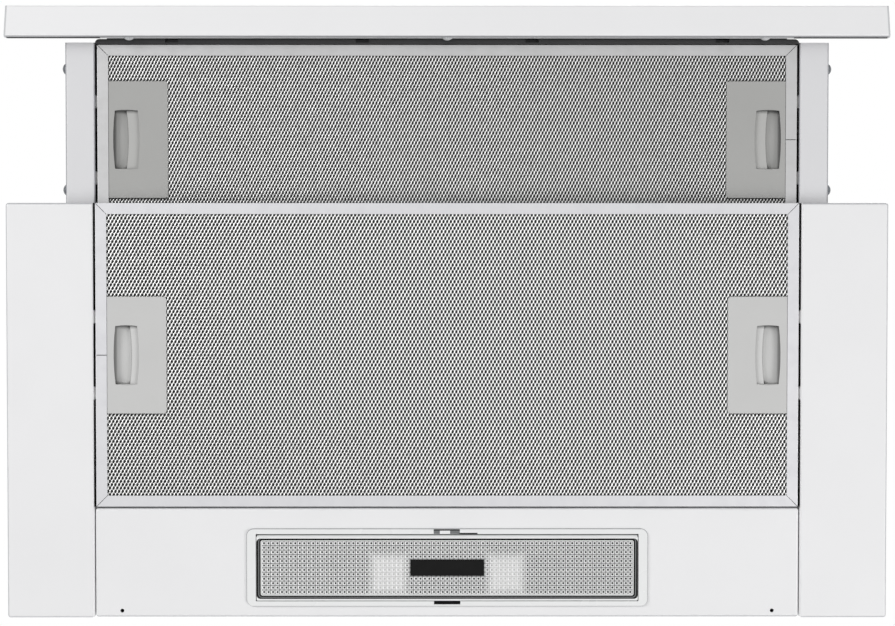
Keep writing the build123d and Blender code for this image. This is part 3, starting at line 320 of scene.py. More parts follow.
# Satin ABS mouldings: even grey with a fine spark-eroded texture. Painted shade darkens the walls of the
# windows and the floors of the finger wells, and the latches' front and outer edges; painted shade from
# ambient occlusion lies in the latches' own corners. The drawer's mouldings are darker copies, as painted
# shade.
HANDLE = Finish("satin_abs_grey", "#CDCDCC", "#C8C8C7", 0.5, 0.05, 25, 0.6, 0.015, ior=1.54)
HANDLE_FIXED = replace(HANDLE, fades=(Fade(Axis.Z, "#6A6A69", -177.0, -176.0),))
HANDLE_DRAWER = replace(
    HANDLE,
    name="satin_abs_grey_drawer",
    colour="#ACACAA",
    shade="#A6A6A4",
    fades=(Fade(Axis.Z, "#555554", -166.5, -165.5),),
)
LATCH_FIXED = replace(
    HANDLE,
    name="satin_abs_grey_latch",
    colour="#D6D6D5",
    shade="#D1D1D0",
    fades=(
        Fade(Axis.Z, "#D3D3D2", -175.2, -172.8),
        Fade(Axis.Y, "#707070", -55.6, -58.4),
        Fade(Axis.X, "#A0A09F", 225.0, 226.2),
        Fade(Axis.X, "#D6D6D5", 229.5, 230.0),
    ),
    crevice=("#626261", 3.0),
)
LATCH_DRAWER = replace(
    HANDLE,
    name="satin_abs_grey_drawer_latch",
    colour="#B9B9B7",
    shade="#B3B3B1",
    fades=(
        Fade(Axis.Z, "#B1B1AF", -164.7, -162.3),
        Fade(Axis.Y, "#5C5C5B", -202.6, -205.4),
        Fade(Axis.X, "#7C7C7B", 226.4, 227.6),
        Fade(Axis.X, "#B9B9B7", 229.5, 230.0),
    ),
    crevice=("#4C4C4B", 3.0),
)
# Satin black ABS of the buttons: nearly even, with a soft highlight. The rail is a little lighter.
BLACK = Finish("satin_abs_black", "#161616", "#1D1D1D", 0.44, 0.06, 20, 0.7, 0.015, ior=1.54)
RAIL = replace(BLACK, name="satin_abs_rail", colour="#262627", shade="#2D2D2F")
# Matt black card of the plate on the lens, also used as painted shade on the lens tray's steps and the catch;
# matt finishes of painted shade: black for the beads beside the filters and the pry notch, dark grey for the
# fascia's strips, grey for the rear bead and the ring round the bezel. Hardly any gloss.
CARD_AND_SHADE = Finish("matt_black_card_and_shade", "#090909", "#0E0E0E", 0.75, 0.05, 8, 0.5, 0.01, ior=1.3)
BLACK_SHADE = Finish("painted_black_shade", "#050505", "#0A0A0A", 0.85, 0.05, 6, 0.5, 0.02, ior=1.3)
DARK_GREY_SHADE = Finish("painted_dark_grey_shade", "#2A2A2B", "#232324", 0.85, 0.05, 6, 0.5, 0.02, ior=1.3)
GREY_SHADE = Finish("painted_grey_shade", "#B4B5B7", "#ABACAE", 0.85, 0.05, 6, 0.5, 0.02, ior=1.3)
# Glossy white ABS of the lamp and the terminal box: clean highlights on a very smooth skin.
WHITE = Finish("gloss_abs_white", "#F0F1F1", "#ECEDED", 0.3, 0.05, 40, 3.0, 0.01, ior=1.54)
# White pad-printed ink on the push buttons: flat, and a little uneven.
INK = Finish("pad_printed_white_ink", "#E6E6E4", "#DADAD8", 0.55, 0.05, 3, 0.4, 0.005)
# Bright zinc plating on steel: cool grey with faint patches. The channel screws have a darker passivation,
# and the leaf springs are bare.
ZINC = Finish("zinc_plated_steel", "#B9BCBF", "#A2A6AA", 0.32, 0.08, 6, 1.0, 0.01, 1.0)
SCREW = Finish("passivated_steel_screw", "#7A7D81", "#64676B", 0.28, 0.06, 4, 0.8, 0.01, 1.0)
SPRING = Finish("spring_steel", "#8E9297", "#7C8085", 0.3, 0.05, 4, 0.8, 0.01, 1.0)
# Moulded polypropylene of the blower and talc-filled black of the duct collar: dull, with a fine grain. The
# motor's shell is painted, so it shines a little more.
BLOWER = Finish("moulded_polypropylene_grey", "#5A5C5F", "#525457", 0.55, 0.05, 15, 0.9, 0.03, ior=1.49)
COLLAR = Finish("moulded_polypropylene_black", "#1E1F20", "#27282A", 0.5, 0.06, 15, 0.9, 0.03, ior=1.49)
MOTOR = Finish("painted_motor_shell", "#44474B", "#3D4044", 0.42, 0.05, 12, 1.5, 0.02)
# Frosted bulb glass: white, soft gloss.
BULB = Finish("frosted_bulb_glass", "#FAF9F5", "#F4F3EE", 0.35, 0.05, 20, 0.8, 0.005)
# Moulded polycarbonate: the steps of the lens tray lie in shade, and its edge is bright with the light that
# the clear plastic carries.
SHADE = Finish("shaded_polycarbonate_step", "#77797A", "#5E6061", 0.25, 0.05, 4, 2.0, 0.01, ior=CLEAR_IOR)
RIM = Finish("lit_polycarbonate_edge", "#F2F3F3", "#E9EAEA", 0.2, 0.05, 12, 3.0, 0.01, ior=CLEAR_IOR)


def make_object(name: str, points: np.ndarray, *faces: np.ndarray) -> bpy.types.Object:
    """Make a mesh object at the origin.

    Args:
        name: Name of the object and of its mesh.
        points: Corner points in metres, one row each.
        faces: Arrays of corner numbers, one row for each face.

    Returns:
        The new object, linked to the scene.
    """
    mesh = bpy.data.meshes.new(name)
    mesh.from_pydata(points.tolist(), [], [row for group in faces for row in group.tolist()])
    mesh.update()
    made = bpy.data.objects.new(name, mesh)
    bpy.context.scene.collection.objects.link(made)
    return made


def rounded(half: float, front: float, rear: float, corner: float, height: float) -> np.ndarray:
    """Work out a level rectangle with quarter circles at its corners.

    Args:
        half: Half its width, along X.
        front: Its lowest Y.
        rear: Its highest Y.
        corner: Radius of the quarter circles.
        height: Its Z.

    Returns:
        Its points in order, anticlockwise from above.
    """
    turn = np.linspace(0, np.pi / 2, CORNER_POINTS) + np.arange(4)[:, None] * np.pi / 2
    side = np.array([1, -1, -1, 1])[:, None]
    depth = np.array([rear - corner, rear - corner, front + corner, front + corner])[:, None]
    x = side * (half - corner) + corner * np.cos(turn)
    y = depth + corner * np.sin(turn)
    return np.stack([x, y, np.full_like(x, height)], -1).reshape(-1, 3)


def loft(count: int, around: int, wrap: bool = False) -> np.ndarray:
    """Join closed loops of points, each to the next, with a belt of quads.

    Args:
        count: How many loops there are.
        around: Points in each loop.
        wrap: Whether the last loop joins the first too.

    Returns:
        Corner numbers, one row for each quad.
    """
    here = np.arange(around)[None]
    start = np.arange(count if wrap else count - 1)[:, None] * around
    ahead = (start + around) % (count * around)
    after = np.roll(here, -1, axis=1)
    return np.stack([start + here, start + after, ahead + after, ahead + here], -1).reshape(-1, 4)


def blocks(low: np.ndarray, high: np.ndarray) -> tuple[np.ndarray, np.ndarray]:
    """Work out upright boxes.

    Args:
        low: Lowest corners, one row for each box.
        high: Highest corners.

    Returns:
        Corner points, and the corner numbers of the faces.
    """
    pick = np.array([[0, 0, 0], [1, 0, 0], [1, 1, 0], [0, 1, 0], [0, 0, 1], [1, 0, 1], [1, 1, 1], [0, 1, 1]])
    points = np.where(pick[None] == 1, high[:, None], low[:, None])
    sides = [[3, 2, 1, 0], [4, 5, 6, 7], [0, 1, 5, 4], [1, 2, 6, 5], [2, 3, 7, 6], [3, 0, 4, 7]]
    faces = np.arange(len(low))[:, None, None] * 8 + np.array(sides)[None]
    return points.reshape(-1, 3), faces.reshape(-1, 4)


def beads(runs: np.ndarray, out: np.ndarray, thick: float, tall: float) -> tuple[np.ndarray, ...]:
    """Work out straight beads of painted shade with a half-round section that stand on upright walls.

    A point is start plus s times the run, plus thick cos t along the wall's normal and half of tall sin t
    upwards.

    Args:
        runs: Start and end of the middle line of each bead. A run goes along the normal crossed with Z.
        out: Normal of each bead's wall.
        thick: How far the section stands out.
        tall: Height of the section.

    Returns:
        Corner points, the corner numbers of the skin and those of the ends.
    """
    turn = np.linspace(-np.pi / 2, np.pi / 2, ARC_POINTS)
    up = np.array([0.0, 0.0, tall / 2])
    section = thick * np.cos(turn)[None, :, None] * out[:, None] + np.sin(turn)[None, :, None] * up
    points = runs[:, :, None] + section[:, None]
    start = np.arange(len(runs))[:, None, None] * 2 * ARC_POINTS
    near = np.arange(ARC_POINTS)
    skin = start + loft(2, ARC_POINTS)[None]
    ends = start + np.stack([near[::-1], near + ARC_POINTS])[None]
    return points.reshape(-1, 3), skin.reshape(-1, 4), ends.reshape(-1, ARC_POINTS)


def paint(obj: bpy.types.Object, *materials: Material) -> None:
    """Give an object materials in place of any that it has."""
    obj.data.materials.clear()
    for material in materials:
        obj.data.materials.append(material)


def dress_nodes(finish: Finish, *names: str) -> None:
    """Give CAD nodes a finish.

    Args:
        finish: The finish.
        names: Names of the nodes.
    """
    for name in names:
        paint(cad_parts[name], finish.material())
        log.info("dressed %s with %s", name, finish.name)


def settle(obj: bpy.types.Object, body: str, slot: str, *nodes: str) -> None:
    """Let a new piece ride on a body.

    Args:
        obj: The piece.
        body: The CAD body that it moves with.
        slot: The record's material slot; not used.
        nodes: CAD nodes that it stands for.
    """
    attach(obj, body)
    if nodes:
        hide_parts(*nodes)
    log.info("built %s: %d faces on %s", obj.name, len(obj.data.polygons), body)


class Owner(Enum):
    """Which part of the hood carries a filter."""

    FIXED = "casing"
    DRAWER = "drawer"


class Side(Enum):
    """Side of the hood, with its sign along X."""

    LEFT = -1
    RIGHT = 1


class Assembly(ABC):
    """A group of CAD nodes and the pieces that are added to it."""

    def build(self) -> None:
        """Build the added pieces; a group without any keeps this."""

    @abstractmethod
    def dress(self) -> None:
        """Give the group's CAD nodes their finishes."""


@dataclass
class GreaseFilter(Assembly):
    """One cassette: mitred frame, expanded sheet over a dark core, two handles with sprung latches.

    Attributes:
        owner: The part of the hood that carries it.
        pitch: Distance between neighbouring holes of a row.
        skew: Sideways lean of a hole for each unit of its length.
        bond: Colour of the flat bonds where strands meet, a painted highlight, sRGB hex.
        strand: Colour of the strands between the bonds, painted shade, sRGB hex.
        row: Distance between rows; the next row is shifted by half a pitch.
        hole: Half the hole's width and length, as shares of the pitch and of the row, and how much of the
            length is straight.
        lift: How far a hole's corners stand behind the bonds, as shares of the depth, anticlockwise from the
            front.
        twist: Values of the lattice where a strand's colour starts and where it is full.
        gloss: Least and greatest roughness of the sheet.
        speckle: Size of the patches of gloss.
        strip: Width of the frame's strip.
        tuck: How far the sheet goes under the frame's lip.
        lip: Gauge of the frame's lip.
        depth: How far a strand's edge stands behind its crest.
        cover: How far the sheet goes behind a handle plate, as a share of the pitch and of the row.
        handle: Width and length of a handle plate.
        tongue: Distance of a latch tongue from the handle's middle line, and half the gap that it needs.
        shade_bead: Thickness and height of the beads of painted shade round the cassette, and their height
            above
        its lower face.
        spring: Gauge of a latch's leaf spring, the latch's travel, and the play left between them at its end.
    """

    owner: Owner
    pitch: float
    skew: float
    bond: str
    strand: str
    row: float = 2.27 * MM
    hole: Triple = (0.33, 0.56, 0.4)
    lift: tuple[float, ...] = (0.6, 1.0, 1.0, 0.6, 0.35, 0.35)
    twist: Pair = (-1.0, 0.1)
    gloss: Pair = (0.36, 0.56)
    speckle: float = 5.0 * MM
    strip: float = 7.6 * MM
    tuck: float = 5.0 * MM
    lip: float = 0.75 * MM
    depth: float = 0.38 * MM
    cover: float = 0.2
    handle: Pair = (40.5 * MM, 79.5 * MM)
    tongue: Pair = (26.0 * MM, 4.6 * MM)
    shade_bead: Triple = (0.35 * MM, 6.6 * MM, 3.9 * MM)
    spring: Triple = (0.5 * MM, 6.0 * MM, 0.1 * MM)

    @property
    def prefix(self) -> str:
        """Return the first part of the names of this filter's nodes."""
        return f"{self.owner.name.lower()}_filter"

    def strand_material(self, y_mid: float) -> Material:
        """Make expanded aluminium: rolled bonds with a painted highlight, and twisted strands between them in
        painted shade.

        The product of a cosine over X and one over Y is -1 on the bonds and 1 in the holes.

        Args:
            y_mid: Where a row of holes runs along X.

        Returns:
            The material.
        """
        made, tree = new_tree(f"expanded_aluminium_{self.owner.name.lower()}")
        place = add_node(tree, "TexCoord").outputs["Object"]
        x, y, _ = add_node(tree, "SeparateXYZ", [place]).outputs
        across = add_node(tree, "Math", [x, 2 * np.pi / self.pitch], operation="MULTIPLY")
        count, shift = np.pi / self.row, -np.pi * y_mid / self.row
        along = add_node(tree, "Math", [y, count, shift], operation="MULTIPLY_ADD")
        waves = [add_node(tree, "Math", [angle], operation="COSINE") for angle in (across, along)]
        lattice = add_node(tree, "Math", waves, operation="MULTIPLY")
        twist = add_node(tree, "MapRange", [lattice, *self.twist])
        bond, strand = linear(self.bond), linear(self.strand)
        colour = add_node(tree, "Mix", {0: twist, 6: bond, 7: strand}, data_type="RGBA")
        speckle = add_node(tree, "TexNoise", {"Vector": place, "Scale": 1 / self.speckle, "Detail": 3.0})
        gloss = add_node(tree, "MapRange", [speckle, 0.0, 1.0, *self.gloss])
        shader = add_node(tree, "BsdfPrincipled", {"Base Color": colour, "Roughness": gloss, "Metallic": 1.0})
        add_node(tree, "OutputMaterial", {"Surface": shader})
        return made

    def hole_centres(self, low: Vector, high: Vector) -> np.ndarray:
        """Work out the middles of the sheet's holes: a staggered lattice that stops behind the handle plates.

        Args:
            low: Lowest corner of the frame.
            high: Its highest corner.

        Returns:
            X, and Y from the cassette's middle line, one row for each hole.
        """
        width, length = self.handle
        inner_x = high.x - self.strip
        span_x = inner_x + self.tuck
        span_y = (high.y - low.y) / 2 - self.strip + self.tuck
        columns = np.arange(-np.ceil(span_x / self.pitch), np.ceil(span_x / self.pitch) + 1)
        rows = np.arange(-np.ceil(span_y / self.row), np.ceil(span_y / self.row) + 1)
        j, i = np.meshgrid(rows, columns, indexing="ij")
        centres = np.stack([(i + (j % 2) / 2) * self.pitch, j * self.row], -1).reshape(-1, 2)
        x, y = np.abs(centres).T
        inside = (x < span_x - self.pitch / 2) & (y < span_y - self.row)
        behind_x = x > inner_x - width + self.cover * self.pitch
        behind_y = y < length / 2 - self.cover * self.row
        return centres[inside & ~(behind_x & behind_y)]

    def build_sheet(self) -> None:
        """Build the expanded sheet.

        The sheet is a staggered lattice of rhombic cells, one pitch wide and two rows long. Each cell is a
        ring between its four corners, which lie on the bonds, and a six-cornered hole that leans with the
        strands. The hole's right edge stands further back than its left one, so each strand is tilted.
        """
        low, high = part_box(f"{self.prefix}_frame")
        y_mid = (low.y + high.y) / 2
        centres = self.hole_centres(low, high)
        wide, tall = self.hole[0] * self.pitch, self.hole[1] * self.row
        flank = self.hole[2] * tall
        corners = np.array([[0, -self.row], [self.pitch / 2, 0], [0, self.row], [-self.pitch / 2, 0]])
        right = np.array([[0, -tall], [wide, -flank], [wide, flank]])
        hole = np.concatenate([right, -right])
        hole[:, 0] -= self.skew * hole[:, 1]
        ring = np.concatenate([corners, hole])
        height = np.array([0, 0, 0, 0, *self.lift]) * self.depth
        points = np.empty((len(centres), len(ring), 3))
        points[:, :, :2] = centres[:, None] + ring[None] + np.array([0, y_mid])
        points[:, :, 2] = low.z + self.lip + height[None]
        start = (np.arange(len(centres)) * len(ring))[:, None, None]
        quads = np.array([[0, 4, 5, 1], [1, 6, 7, 2], [2, 7, 8, 3], [3, 9, 4, 0]])
        sides = np.array([[1, 5, 6], [3, 8, 9]])
        sheet = make_object(
            f"{self.prefix}_expanded_sheet",
            points.reshape(-1, 3),
            (start + quads[None]).reshape(-1, 4),
            (start + sides[None]).reshape(-1, 3),
        )
        paint(sheet, self.strand_material(y_mid))
        settle(sheet, self.owner.value, "aluminium", f"{self.prefix}_mesh")

    def build_shade_beads(self) -> None:
        """Build black beads of painted shade beside the cassette, with breaks for the latches' tongues, and a
        grey one at the rear.
        """
        low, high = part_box(f"{self.prefix}_frame")
        thick, tall, rise = self.shade_bead
        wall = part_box("base_right_panel" if self.owner is Owner.FIXED else "drawer_right_channel")[0].x
        reach, spare = self.tongue
        y_mid, z_mid = (low.y + high.y) / 2, low.z + rise
        breaks = y_mid + np.add.outer([-reach, reach], [-spare, spare])
        stops = np.array([low.y, *breaks.ravel(), high.y]).reshape(3, 2)
        right = np.stack([np.full_like(stops, wall), stops, np.full_like(stops, z_mid)], -1)
        left = right[:, ::-1] * np.array([-1, 1, 1])
        out = np.repeat([[-1.0, 0, 0], [1.0, 0, 0]], 3, axis=0)
        runs = np.concatenate([right, left])
        gap_beads = make_object(f"{self.prefix}_gap_seals", *beads(runs, out, thick, tall))
        paint(gap_beads, BLACK_SHADE.material())
        settle(gap_beads, self.owner.value, "black_plastic")
        if self.owner is Owner.FIXED:
            panel_low, panel_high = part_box("lamp_panel")
            runs = np.array([[[panel_high.x, panel_low.y, z_mid], [panel_low.x, panel_low.y, z_mid]]])
            out = np.array([[0, -1.0, 0]])
            rear_shade_bead = make_object(f"{self.prefix}_rear_seal", *beads(runs, out, thick, tall))
            paint(rear_shade_bead, GREY_SHADE.material())
            settle(rear_shade_bead, self.owner.value, "grey_plastic")

    def build_springs(self) -> None:
        """Build the leaf springs.

        A spring is a rectangular section carried along a parabola: X falls from the crown with the square of
        Y.
        """
        gauge, travel, play = self.spring
        share = np.linspace(-1, 1, LEAF_POINTS)
        for side in Side:
            node = f"{self.prefix}_{side.name.lower()}_spring"
            low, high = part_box(node)
            foot, crown = sorted((abs(low.x), abs(high.x)))
            x = crown - (crown - foot - gauge) * share**2
            y = (low.y + high.y) / 2 + share * (high.y - low.y) / 2
            section = ((0.0, low.z), (0.0, high.z), (-gauge, high.z), (-gauge, low.z))
            loops = np.stack(
                [np.stack([side.value * (x + inward), y, np.full_like(y, z)], -1) for inward, z in section], 1
            )
            ends = np.stack([np.arange(4)[::-1], np.arange(4) + 4 * (LEAF_POINTS - 1)])
            leaf = make_object(f"{node}_leaf", loops.reshape(-1, 3), loft(LEAF_POINTS, 4), ends)
            paint(leaf, SPRING.material())
            settle(leaf, self.owner.value, "zinc_steel", node)
            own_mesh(leaf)

    def build(self) -> None:
        """Build the sheet, the beads of painted shade and the latches' springs."""
        self.build_sheet()
        self.build_shade_beads()
        self.build_springs()

    def dress(self) -> None:
        """Give the cassette's CAD nodes their finishes."""
        fixed = self.owner is Owner.FIXED
        dress_nodes(STRIP if fixed else STRIP_DRAWER, f"{self.prefix}_frame")
        dress_nodes(CORE, f"{self.prefix}_core")
        dress_nodes(HANDLE_FIXED if fixed else HANDLE_DRAWER, f"{self.prefix}_handles")
        for side in Side:
            latch = f"{self.prefix}_{side.name.lower()}_latch"
            dress_nodes(LATCH_FIXED if fixed else LATCH_DRAWER, latch)


@dataclass
class LampUnit(Assembly):
    """Lamp with a prismatic lens tray in a white bezel, and two bulbs in a white housing.

    Attributes:
        wall: Thickness of the tray's walls and floor.
        edge: Depth of the round front edge, on the hinge.
        play: How far that edge stands behind the tray's front, which opens the gap to the bezel.
        corner: Radius of the tray's upright edges.
        prism: Width of one prism.
        pit: Depth of one prism.
        ridge: Painted shade along a prism's edges: where it starts and is full, from the prism's middle and
            in
        prisms, and its value at both.
        groove: The same along a prism's diagonals, from the diagonal.
        dot: The same round a prism's middle.
        plastic: Colours of the clear plastic, of the plastic before a bulb and of its painted shade, sRGB
            hex.
        gloss: Least and greatest roughness of the prisms.
        cloud: Size of the patches of gloss.
        passing: Share of the light that goes through.
        pin: Radius of the hinge pins and how far they stand out.
        steps: Moulded steps round the prisms, from outside in: distance from the tray's ends, front and rear,
            and corner radius.
        glow: Distance of a bulb's painted bright patch from the middle, its distance behind the lens's middle
        line, and half its width and depth.
        halo: Brightness of that patch: where it starts to fall and where it ends, as shares of its half width
            and depth, and its value at both.
        faded: What is left of the painted shade in the patch.
        shade_ring: How far the grey ring of painted shade round the bezel shows, its thickness and the
            bezel's corner radius.
        tuck: How far that ring goes under the bezel.
        label_gap: Distance between the plate on the lens and the prisms behind it.
        skin: Thickness of one thin plate of the catch.
        catch_slot: Limits of the catch's slot along X, and along Y from the bezel's front edge.
        catch_edge: Limits of the shadow line of its front edge.
        catch_hook: Limits of the hook beside it.
        catch_tab: Limits of its tab.
        notch_shade: Limits of the dark pad of painted shade in the pry notch.
    """

    wall: float = 2.0 * MM
    edge: float = 2.5 * MM
    play: float = 0.35 * MM
    corner: float = 1.0 * MM
    prism: float = 3.04 * MM
    pit: float = 0.9 * MM
    ridge: Limits = (0.39, 0.45, 0.0, 0.92)
    groove: Limits = (0.02, 0.09, 0.5, 0.0)
    dot: Limits = (0.2, 0.29, 1.0, 0.0)
    plastic: tuple[str, str, str] = ("#F6F7F7", "#F4F4F4", "#080808")
    gloss: Pair = (0.2, 0.35)
    cloud: float = 8.0 * MM
    passing: float = 0.03
    pin: Pair = (1.0 * MM, 1.2 * MM)
    steps: tuple[Limits, ...] = (
        (0.05 * MM, 2.5 * MM, 1.2 * MM, 2.6 * MM),
        (1.2 * MM, 2.55 * MM, 2.0 * MM, 2.3 * MM),
        (1.9 * MM, 2.6 * MM, 2.6 * MM, 1.8 * MM),
        (2.9 * MM, 3.75 * MM, 3.5 * MM, 1.2 * MM),
        (3.6 * MM, 4.3 * MM, 4.3 * MM, 0.0),
    )
    glow: Limits = (40.0 * MM, 4.3 * MM, 13.0 * MM, 14.0 * MM)
    halo: Limits = (0.65, 1.15, 1.0, 0.0)
    faded: float = 0.36
    shade_ring: Triple = (0.45 * MM, 0.3 * MM, 4.5 * MM)
    tuck: float = 1.0 * MM
    label_gap: float = 0.1 * MM
    skin: float = 0.06 * MM
    catch_slot: Limits = (-9.2 * MM, 8.6 * MM, 0.4 * MM, 3.1 * MM)
    catch_edge: Limits = (-9.2 * MM, 8.6 * MM, 0.0, 0.8 * MM)
    catch_hook: Limits = (8.0 * MM, 20.6 * MM, 2.4 * MM, 3.2 * MM)
    catch_tab: Limits = (-5.0 * MM, 2.0 * MM, 0.9 * MM, 3.1 * MM)
    notch_shade: Limits = (-8.9 * MM, 8.9 * MM, 49.3 * MM, 51.4 * MM)

    def prism_material(self, first: Pair, cell: Pair, y_lamp: float) -> Material:
        """Make the moulded prisms: clear plastic with painted shade in the pits and along the ridges, and
        painted light at the bulbs.

        Args:
            first: X and Y of the first prism's corner.
            cell: Width and depth of a prism.
            y_lamp: Y of the lens's middle line.

        Returns:
            The material.
        """
        made, tree = new_tree("moulded_prismatic_polycarbonate")
        place = add_node(tree, "TexCoord").outputs["Object"]
        grid = add_node(
            tree,
            "Mapping",
            {
                "Vector": place,
                "Location": (-first[0] / cell[0], -first[1] / cell[1], 0.0),
                "Scale": (1 / cell[0], 1 / cell[1], 0.0),
            },
        )
        part = add_node(tree, "VectorMath", [grid], operation="FRACTION")
        centred = add_node(tree, "VectorMath", [part, (0.5, 0.5, 0.0)], operation="SUBTRACT")
        away = add_node(tree, "VectorMath", [centred], operation="ABSOLUTE")
        x, y, _ = add_node(tree, "SeparateXYZ", [away]).outputs
        outward = add_node(tree, "Math", [x, y], operation="MAXIMUM")
        skew = add_node(tree, "Math", [x, y], operation="SUBTRACT")
        aslant = add_node(tree, "Math", [skew], operation="ABSOLUTE")
        radius = add_node(tree, "VectorMath", [away], operation="LENGTH")
        # Painted shade along the prisms' edges and diagonals and round their middles.
        ridge, groove, dot = (
            add_node(tree, "MapRange", [value, *limits])
            for value, limits in ((outward, self.ridge), (aslant, self.groove), (radius, self.dot))
        )
        lines = add_node(tree, "Math", [ridge, groove], operation="MAXIMUM")
        marks = add_node(tree, "Math", [lines, dot], operation="MAXIMUM")
        # Painted light: a bright patch before each bulb, where the painted shade fades.
        out_x, behind, half_x, half_y = self.glow
        mirrored = add_node(tree, "VectorMath", [place], operation="ABSOLUTE")
        patch = add_node(
            tree,
            "Mapping",
            {
                "Vector": mirrored,
                "Location": (-out_x / half_x, -(y_lamp + behind) / half_y, 0.0),
                "Scale": (1 / half_x, 1 / half_y, 0.0),
            },
        )
        inward = add_node(tree, "VectorMath", [patch], operation="ABSOLUTE")
        x, y, _ = add_node(tree, "SeparateXYZ", [inward]).outputs
        reach = add_node(tree, "Math", [x, y], operation="MAXIMUM")
        glow = add_node(tree, "MapRange", [reach, *self.halo])
        faded = add_node(tree, "MapRange", [glow, 0.0, 1.0, 1.0, self.faded])
        dark = add_node(tree, "Math", [marks, faded], operation="MULTIPLY")
        plain, lit, black = (linear(code) for code in self.plastic)
        clear = add_node(tree, "Mix", {0: glow, 6: plain, 7: lit}, data_type="RGBA")
        colour = add_node(tree, "Mix", {0: dark, 6: clear, 7: black}, data_type="RGBA")
        cloud = add_node(tree, "TexNoise", {"Vector": place, "Scale": 1 / self.cloud, "Detail": 2.0})
        gloss = add_node(tree, "MapRange", [cloud, 0.0, 1.0, *self.gloss])
        shader = add_node(
            tree,
            "BsdfPrincipled",
            {"Base Color": colour, "Roughness": gloss, "IOR": CLEAR_IOR, "Transmission Weight": self.passing},
        )
        add_node(tree, "OutputMaterial", {"Surface": shader})
        return made

    def tray_slices(self, low: Vector, high: Vector, half: float) -> np.ndarray:
        """Work out the tray's level slices, rounded rectangles, from the prisms' edge to the tray's floor.

        They go outwards over the moulded steps, up the round front edge, a quarter circle in Y and Z, and up
        the walls, over the rim and down inside.

        Args:
            low: Lowest corner of the cover.
            high: Its highest corner.
            half: Half the tray's width.

        Returns:
            One loop of points for each slice.
        """
        steps = [
            rounded(half - end, low.y + front, high.y - rear, corner, low.z)
            for end, front, rear, corner in self.steps[::-1]
        ]
        arc = np.linspace(np.pi / 2, 0, ARC_POINTS)
        radius = self.edge - self.play
        fronts = low.y + self.edge - radius * np.cos(arc)
        heights = low.z + radius * (1 - np.sin(arc))
        edge = [rounded(half, y, high.y, self.corner, z) for y, z in zip(fronts, heights)]
        inside = (half - self.wall, low.y + 2 * self.wall, high.y - self.wall, self.corner)
        walls = [
            rounded(half, low.y + self.play, high.y, self.corner, high.z),
            rounded(*inside, high.z),
            rounded(*inside, low.z + self.wall),
        ]
        return np.stack(steps + edge + walls)

    def prism_grid(self, xs: np.ndarray, ys: np.ndarray, face: float) -> tuple[np.ndarray, np.ndarray]:
        """Work out the prisms: a grid of square pits, corners on the face and middles one pit depth higher.

        The corners behind the plate on the lens stand back from it.

        Args:
            xs: X of the grid's lines.
            ys: Y of its lines.
            face: Height of the tray's face.

        Returns:
            Points, and the corner numbers of the faces.
        """
        grids = []
        for x, y, z in ((xs, ys, face), ((xs[1:] + xs[:-1]) / 2, (ys[1:] + ys[:-1]) / 2, face + self.pit)):
            grid_x, grid_y = np.meshgrid(x, y, indexing="ij")
            grids.append(np.stack([grid_x, grid_y, np.full_like(grid_x, z)], -1).reshape(-1, 3))
        corners, pits = grids
        label_low, label_high = (np.array(corner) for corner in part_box("lamp_label"))
        behind = ((corners > label_low) & (corners < label_high))[:, :2].all(axis=1)
        corners[behind, 2] = label_high[2] + self.label_gap
        columns, rows = len(xs) - 1, len(ys) - 1
        i, j = np.meshgrid(np.arange(columns), np.arange(rows), indexing="ij")
        near_left = (i * (rows + 1) + j).ravel()
        near_right, far_left, far_right = near_left + rows + 1, near_left + 1, near_left + rows + 2
        peak = len(corners) + np.arange(columns * rows)
        loop = (near_left, near_right, far_right, far_left, near_left)
        faces = [np.stack([start, peak, end], -1) for start, end in zip(loop, loop[1:])]
        return np.concatenate([corners, pits]), np.concatenate(faces)

    def hinge_pins(self, low: Vector, high: Vector, half: float) -> tuple[np.ndarray, ...]:
        """Work out the two round pins on the tray's ends: circles in Y and Z carried along X.

        Args:
            low: Lowest corner of the cover.
            high: Its highest corner.
            half: Half the tray's width.

        Returns:
            Points, the corner numbers of the skins and those of the ends.
        """
        radius = self.pin[0]
        turn = np.linspace(0, 2 * np.pi, PIN_POINTS, endpoint=False)
        points = np.empty((4, PIN_POINTS, 3))
        points[:, :, 0] = np.array([-high.x, -half, half, high.x])[:, None]
        points[:, :, 1] = low.y + self.edge + radius * np.cos(turn)
        points[:, :, 2] = low.z + self.edge + radius * np.sin(turn)
        skin, end = loft(2, PIN_POINTS), np.arange(PIN_POINTS)
        skins = np.concatenate([skin, skin + 2 * PIN_POINTS])
        return points.reshape(-1, 3), skins, np.stack([end[::-1], end + 3 * PIN_POINTS])

    def build_lens(self) -> None:
        """Build the lens tray: slices joined one to the next, prisms in the face and a pin on each end."""
        low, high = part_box("lamp_cover")
        half = high.x - self.pin[1]
        slices = self.tray_slices(low, high, half)
        count, around, _ = slices.shape
        floor = (np.arange(around) + (count - 1) * around)[None]
        end, front, rear, _ = self.steps[-1]
        columns = round(2 * (half - end) / self.prism)
        rows = round((high.y - low.y - front - rear) / self.prism)
        xs = np.linspace(end - half, half - end, columns + 1)
        ys = np.linspace(low.y + front, high.y - rear, rows + 1)
        prism_points, prisms = self.prism_grid(xs, ys, low.z)
        pin_points, pin_skins, pin_ends = self.hinge_pins(low, high, half)
        first_prism = count * around
        first_pin = first_prism + len(prism_points)
        lens = make_object(
            "lamp_prismatic_lens",
            np.concatenate([slices.reshape(-1, 3), prism_points, pin_points]),
            loft(count, around),
            floor,
            prisms + first_prism,
            pin_skins + first_pin,
            pin_ends + first_pin,
        )
        cell = (xs[1] - xs[0], ys[1] - ys[0])
        prism_skin = self.prism_material((xs[0], ys[0]), cell, (low.y + high.y) / 2)
        paint(lens, RIM.material(), CARD_AND_SHADE.material(), prism_skin, SHADE.material())
        rim, dark_step, prism, shade = range(4)
